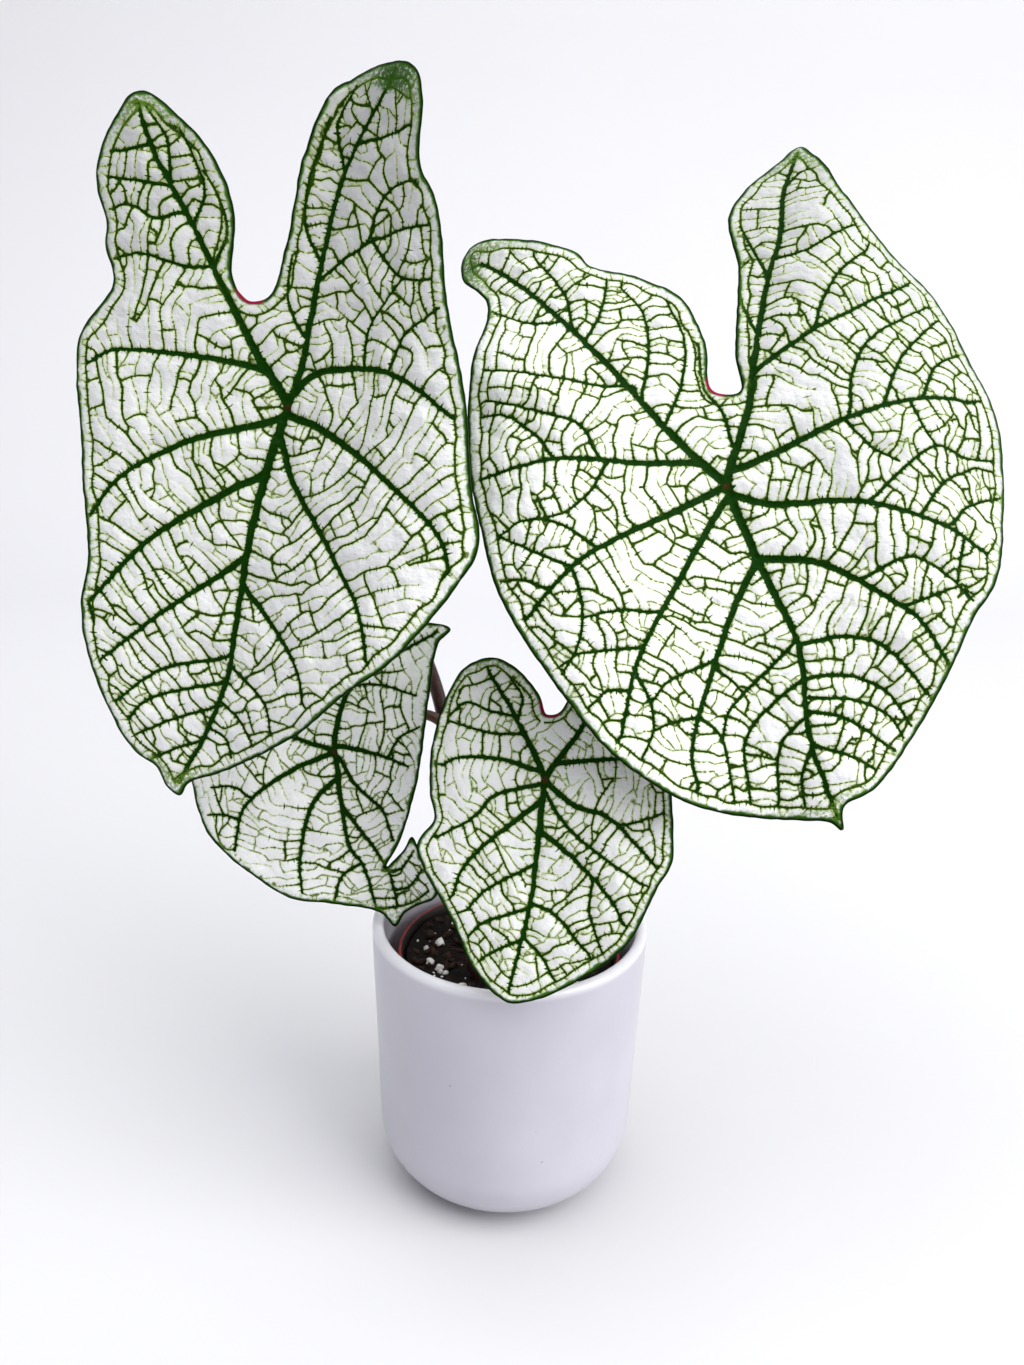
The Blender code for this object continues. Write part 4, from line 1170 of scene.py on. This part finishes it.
def glazed_pot():
    """Turned pot with a round lip and round lower corner, pale lilac glaze and a painted lip highlight."""
    centre, radius = inner_corner()
    lip = POT_WALL / 2
    profile = [(0.0, POT_FLOOR)] + arc(centre, radius, -90, 0, 20)
    profile += arc((POT_RADIUS - lip, POT_HEIGHT - lip), lip, 180, 0, 20)
    profile += arc((POT_LOW_RADIUS - POT_CORNER, POT_CORNER), POT_CORNER, 0, -90, 26) + [(0.0, 0.0)]
    verts, faces = turned(finer(profile, PROFILE_STEP), POT_STEPS, pot_wobble)
    p = Paint("glaze")
    place = p.place()
    cloud = p.noise(place, 14.0, 3.0, 0.5)
    colour = p.blend(cloud, 0.3, 0.72, (0.455, 0.445, 0.51), (0.51, 0.50, 0.565))
    # Painted highlight: the glaze is painted lighter over the top few millimetres of the lip
    painted_lip_highlight = p.span(p.axis(place, "Z"), (POT_HEIGHT - 4.5) * MM, (POT_HEIGHT - 1.0) * MM, 0.0, 0.8)
    colour = p.mix(painted_lip_highlight, colour, (0.74, 0.74, 0.78))
    speckle = p.noise(place, 420.0, 2.0, 0.6)
    colour = p.mix(p.span(speckle, 0.55, 0.75, 0.0, 0.18), colour, (0.50, 0.49, 0.56))
    # Pinholes and iron spots, few and small
    rare = p.span(p.noise(place, 21.0, 1.0, 0.5), 0.56, 0.60)
    spots = p.times(p.span(p.cells(place, 62.0), 0.02, 0.045, 1.0, 0.0), rare)
    colour = p.mix(p.times(spots, 0.6), colour, (0.16, 0.15, 0.17))
    p.set(Base_Color=colour, Roughness=p.span(cloud, 0.2, 0.8, 0.30, 0.40),
          Coat_Weight=0.4, Coat_Roughness=0.15)
    p.bump(p.plus(p.noise(place, 260.0, 3.0, 0.55), p.times(spots, -1.5)), 0.25, 0.0004)
    add_mesh("glazed_pot", verts, faces, p.mat, ["outer_pot"])


def nursery_base():
    """Height at which the nursery pot's foot stands on the round corner inside the glazed pot."""
    centre, radius = inner_corner()
    beyond = NURSERY_BASE_RADIUS - centre[0]
    return centre[1] - math.sqrt(radius ** 2 - beyond ** 2) + CLEAR * 1.1


def nursery_pot():
    """Thin moulded pot with a rolled rim, upright flutes low on its wall and drain holes."""
    base = nursery_base()
    low = NURSERY_BASE_RADIUS
    top = NURSERY_TOP
    wall = NURSERY_WALL
    inner = [(0.0, base + wall), (low - wall, base + wall), (NURSERY_RADIUS - wall, top - 4),
             (NURSERY_RADIUS - wall + 0.3, top - 1.4)]
    rim = arc((NURSERY_RIM - 0.9, top - 0.9), 0.9, 150, 0, 8)
    outer = [(NURSERY_RIM - 0.1, top - 6), (NURSERY_RADIUS - 0.3, top - 6.4), (low + 1.0, base + 8),
             (low, base + 0.8), (low - 0.8, base), (0.0, base)]
    profile = finer(inner + rim + outer, PROFILE_STEP)

    def flutes(r, z, a):
        share = 1 - min(1.0, abs(z - 40) / 34)
        return 0.25 * max(0.0, math.cos(24 * a)) * share if r > low else 0.0

    verts, faces = turned(profile, POT_STEPS, flutes)
    p = Paint("plastic")
    place = p.place()
    worn = p.noise(place, 60.0, 4.0, 0.6)
    colour = p.blend(worn, 0.35, 0.7, (0.24, 0.012, 0.010), (0.36, 0.024, 0.018))
    dust = p.span(p.noise(place, 240.0, 3.0, 0.6), 0.60, 0.75, 0.0, 0.5)
    colour = p.mix(dust, colour, (0.10, 0.07, 0.055))
    # Soil clings to the inside of the rim
    squares = [p.math("POWER", p.axis(place, name), 2.0) for name in "XY"]
    out = p.plus(p.math("SQRT", p.plus(*squares)), p.times(worn, 0.8 * MM))
    soiled = p.span(out, (NURSERY_RIM - 1.0) * MM, (NURSERY_RIM - 0.6) * MM, 1.0, 0.0)
    high = p.math("GREATER_THAN", p.axis(place, "Z"), (top - 10) * MM)
    colour = p.mix(p.times(soiled, high), colour, (0.012, 0.006, 0.005))
    p.set(Base_Color=colour, Roughness=p.span(worn, 0.2, 0.8, 0.45, 0.6), Specular_IOR_Level=0.3)
    p.bump(p.noise(place, 500.0, 2.0, 0.5), 0.2, 0.0003)
    pot = add_mesh("plastic_pot", verts, faces, p.mat, ["nursery_pot"])
    drill_drains(pot, base)


def drill_drains(pot, base):
    """Cuts a ring of round holes through the pot's foot."""
    drill = bmesh.new()
    for i in range(DRAIN_HOLES):
        a = math.tau * i / DRAIN_HOLES
        at = Vector((DRAIN_RING * math.cos(a), DRAIN_RING * math.sin(a), base)) * MM
        bmesh.ops.create_cone(drill, cap_ends=True, segments=32, radius1=DRAIN_RADIUS * MM,
                              radius2=DRAIN_RADIUS * MM, depth=8 * MM, matrix=Matrix.Translation(at))
    mesh = bpy.data.meshes.new("drill")
    drill.to_mesh(mesh)
    drill.free()
    cutter = add_object("drill", mesh)
    drains = pot.modifiers.new("drains", "BOOLEAN")
    drains.operation = "DIFFERENCE"
    drains.object = cutter
    bpy.context.view_layer.objects.active = pot
    bpy.ops.object.modifier_apply(modifier="drains")
    bpy.data.objects.remove(cutter)


# Soil

def soil_section():
    """Radius of the soil at its top, and its lowest height and the radius there."""
    base = nursery_base() + NURSERY_WALL + CLEAR
    slope = (NURSERY_RADIUS - NURSERY_BASE_RADIUS) / (NURSERY_TOP - 4 - nursery_base())
    low = NURSERY_BASE_RADIUS - NURSERY_WALL - CLEAR * 1.3
    return low + slope * (SOIL_TOP - base - CLEAR), base, low


def soil_level(x, y):
    """Height of the soil's rough top, banked up a little at the pot's wall."""
    where = Vector((x, y, 3.7))
    lump = 2.2 * noise.noise(where * 0.09) + 1.1 * noise.noise(where * 0.28)
    crumb = 0.9 * abs(noise.noise(where * 0.6)) + 0.45 * noise.noise(where * 1.3)
    bank = 6.0 * min(1.0, math.hypot(x, y) / NURSERY_RADIUS) ** 4
    return SOIL_TOP + lump + crumb + bank


def soil_body():
    """The soil's dark rough mass."""
    edge, base, low = soil_section()
    top = [(edge * i / SOIL_RINGS, SOIL_TOP) for i in range(SOIL_RINGS + 1)]
    verts, faces = turned(top + [(low, base), (0.0, base)], SOIL_STEPS)
    verts = [(x, y, soil_level(x, y) if z > base else z) for x, y, z in verts]
    p = Paint("soil")
    place = p.place()
    crumbs = p.noise(place, 420.0, 5.0, 0.7)
    colour = p.blend(crumbs, 0.35, 0.7, (0.003, 0.0022, 0.002), (0.013, 0.008, 0.006))
    fibre = p.noise(p.stretched(place, (1.0, 0.25, 1.0)), 900.0, 3.0, 0.6)
    colour = p.mix(p.span(fibre, 0.64, 0.74, 0.0, 0.4), colour, (0.06, 0.032, 0.018))
    p.set(Base_Color=colour, Roughness=p.span(crumbs, 0.3, 0.7, 0.75, 0.95), Specular_IOR_Level=0.15)
    p.bump(crumbs, 1.0, 0.0012)
    add_mesh("potting_mix", verts, faces, p.mat, ["soil"])


def pebble(centre, size, squash, draw):
    """Points and faces of a small rough lump."""
    ball = bmesh.new()
    bmesh.ops.create_icosphere(ball, subdivisions=2, radius=size)
    turn = Matrix.Rotation(draw.uniform(0, math.tau), 3, "Z")
    turn = turn @ Matrix.Rotation(draw.uniform(-0.6, 0.6), 3, "X")
    shift = Vector((draw.uniform(0, 90), draw.uniform(0, 90), 0))
    verts = []
    for v in ball.verts:
        p = v.co / size
        far = 1 + 0.42 * noise.noise(p * 1.3 + shift) + 0.2 * noise.noise(p * 3.1 + shift)
        verts.append(turn @ Vector([v.co[i] * squash[i] * far for i in range(3)]) + centre)
    ball.verts.index_update()
    faces = [tuple(v.index for v in face.verts) for face in ball.faces]
    ball.free()
    return verts, faces


def scatter(name, count, sizes, squashes, inner, draw, mat, sink):
    """Rough lumps strewn over the soil, joined to one piece."""
    verts = []
    faces = []
    for _ in range(count):
        a = draw.uniform(0, math.tau)
        r = math.sqrt(draw.uniform(inner, 1.0)) * (NURSERY_RADIUS - 4.5)
        size = draw.uniform(*sizes)
        x, y = r * math.cos(a), r * math.sin(a)
        squash = [draw.uniform(*s) for s in squashes]
        centre = Vector((x, y, soil_level(x, y) + size * squash[2] * sink))
        more, triangles = pebble(centre, size, squash, draw)
        faces += [tuple(len(verts) + i for i in triangle) for triangle in triangles]
        verts += more
    add_mesh(name, verts, faces, mat)


def soil_bits():
    """Perlite and bark."""
    draw = random.Random(11)
    lump = ((0.8, 1.2), (0.7, 1.1), (0.6, 1.0))
    flake = ((0.9, 1.5), (0.35, 0.7), (0.2, 0.45))
    p = Paint("perlite")
    place = p.place()
    dirt = p.noise(place, 320.0, 4.0, 0.65)
    colour = p.blend(dirt, 0.42, 0.72, (0.78, 0.76, 0.76), (0.40, 0.33, 0.31))
    p.set(Base_Color=colour, Roughness=p.span(dirt, 0.3, 0.7, 0.7, 0.9))
    p.bump(dirt, 0.8, 0.0006)
    scatter("perlite_grains", 52, (1.2, 2.7), lump, 0.03, draw, p.mat, sink=0.15)
    scatter("perlite_crumbs", 70, (0.4, 0.9), lump, 0.0, draw, p.mat, sink=0.3)
    b = Paint("bark")
    place = b.place()
    strip = b.noise(b.stretched(place, (1.0, 0.3, 1.0)), 420.0, 4.0, 0.65)
    colour = b.blend(strip, 0.35, 0.7, (0.006, 0.004, 0.003), (0.050, 0.024, 0.014))
    b.set(Base_Color=colour, Roughness=b.span(strip, 0.3, 0.7, 0.7, 0.92), Specular_IOR_Level=0.15)
    b.bump(strip, 0.8, 0.0006)
    scatter("bark_bits", 260, (1.2, 3.4), flake, 0.0, draw, b.mat, sink=0.3)


def tuber_paint():
    """Brown skin with rings and scars for the tuber, whose solid stays."""
    p = Paint("tuber")
    place = p.place()
    rings = p.noise(p.stretched(place, (1.0, 1.0, 6.0)), 90.0, 4.0, 0.6)
    colour = p.blend(rings, 0.3, 0.7, (0.060, 0.030, 0.014), (0.22, 0.13, 0.065))
    p.set(Base_Color=colour, Roughness=p.span(rings, 0.3, 0.7, 0.7, 0.9))
    p.bump(rings, 0.7, 0.0008)
    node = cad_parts["tuber"]
    node.data.materials.clear()
    node.data.materials.append(p.mat)


# Floor, light and camera

def stage():
    """Floor that bends up to a wall far behind."""
    p = Paint("paper")
    place = p.place()
    tone = p.noise(place, 1.5, 2.0, 0.5)
    floor = p.mix(tone, (0.565, 0.565, 0.585), (0.58, 0.58, 0.595))
    wall = p.mix(tone, (0.60, 0.60, 0.62), (0.62, 0.62, 0.64))
    p.set(Base_Color=p.blend(p.axis(place, "Y"), 0.2, 1.8, floor, wall), Roughness=0.85)
    bend = arc((1.0, 0.8), 0.8, math.degrees(0.1) - 90, 0, 13)
    profile = [(-3.0, 0.0), (1.0, 0.0)] + bend + [(1.8, 3.4)]  # y and height in metres
    verts = [(x, y, z) for y, z in profile for x in (-3.5, 3.5)]
    faces = [(2 * i, 2 * i + 1, 2 * i + 3, 2 * i + 2) for i in range(len(profile) - 1)]
    mesh = bpy.data.meshes.new("floor")
    mesh.from_pydata(verts, [], faces)
    mesh.shade_smooth()
    mesh.materials.append(p.mat)
    add_object("floor", mesh)


def area_light(name, place, aim, size, power, colour):
    data = bpy.data.lights.new(name, "AREA")
    data.shape = "RECTANGLE"
    data.size, data.size_y = size
    data.energy = power
    data.color = colour
    lamp = add_object(name, data)
    lamp.location = place
    lamp.rotation_euler = (Vector(aim) - Vector(place)).to_track_quat("-Z", "Y").to_euler()


def lights():
    world = bpy.data.worlds.new("studio")
    world.use_nodes = True
    back = world.node_tree.nodes["Background"]
    back.inputs["Color"].default_value = (0.93, 0.93, 0.97, 1.0)
    back.inputs["Strength"].default_value = 0.40
    bpy.context.scene.world = world
    area_light("key", (2.3, -1.3, 1.9), (0, 0.1, 0.1), (2.8, 2.8), 116, (1.0, 0.99, 0.98))
    area_light("top", (-0.2, -0.3, 2.8), (0, 0.1, 0), (3.2, 3.2), 88, (0.98, 0.99, 1.0))


def camera():
    """Camera fitted to the pot's ellipses in the photograph."""
    pitch = math.radians(CAMERA_PITCH)
    roll = math.radians(CAMERA_ROLL)
    ahead = Vector((0, math.cos(pitch), -math.sin(pitch)))
    level = Vector((1, 0, 0))
    upright = Vector((0, math.sin(pitch), math.cos(pitch)))
    up = upright * math.cos(roll) + level * math.sin(roll)
    right = level * math.cos(roll) - upright * math.sin(roll)
    data = bpy.data.cameras.new("camera")
    data.sensor_width = SENSOR
    data.lens = SENSOR * FOCAL / PHOTO_HEIGHT
    data.clip_start = 0.01
    cam = add_object("camera", data)
    turn = Matrix((right, up, -ahead)).transposed().to_4x4()
    cam.matrix_world = Matrix.Translation(CAMERA * MM) @ turn
    bpy.context.scene.camera = cam


leaf_material = leaf_paint()
for number, leaf in enumerate(LEAVES):
    leaf_piece(leaf, leaf_material, number + 1)
stalk_material = stalk_paint()
for stalk in STALKS:
    stalk_piece(stalk, stalk_material)
glazed_pot()
nursery_pot()
soil_body()
soil_bits()
tuber_paint()
stage()
lights()
camera()
bpy.context.scene.view_settings.view_transform = "Standard"
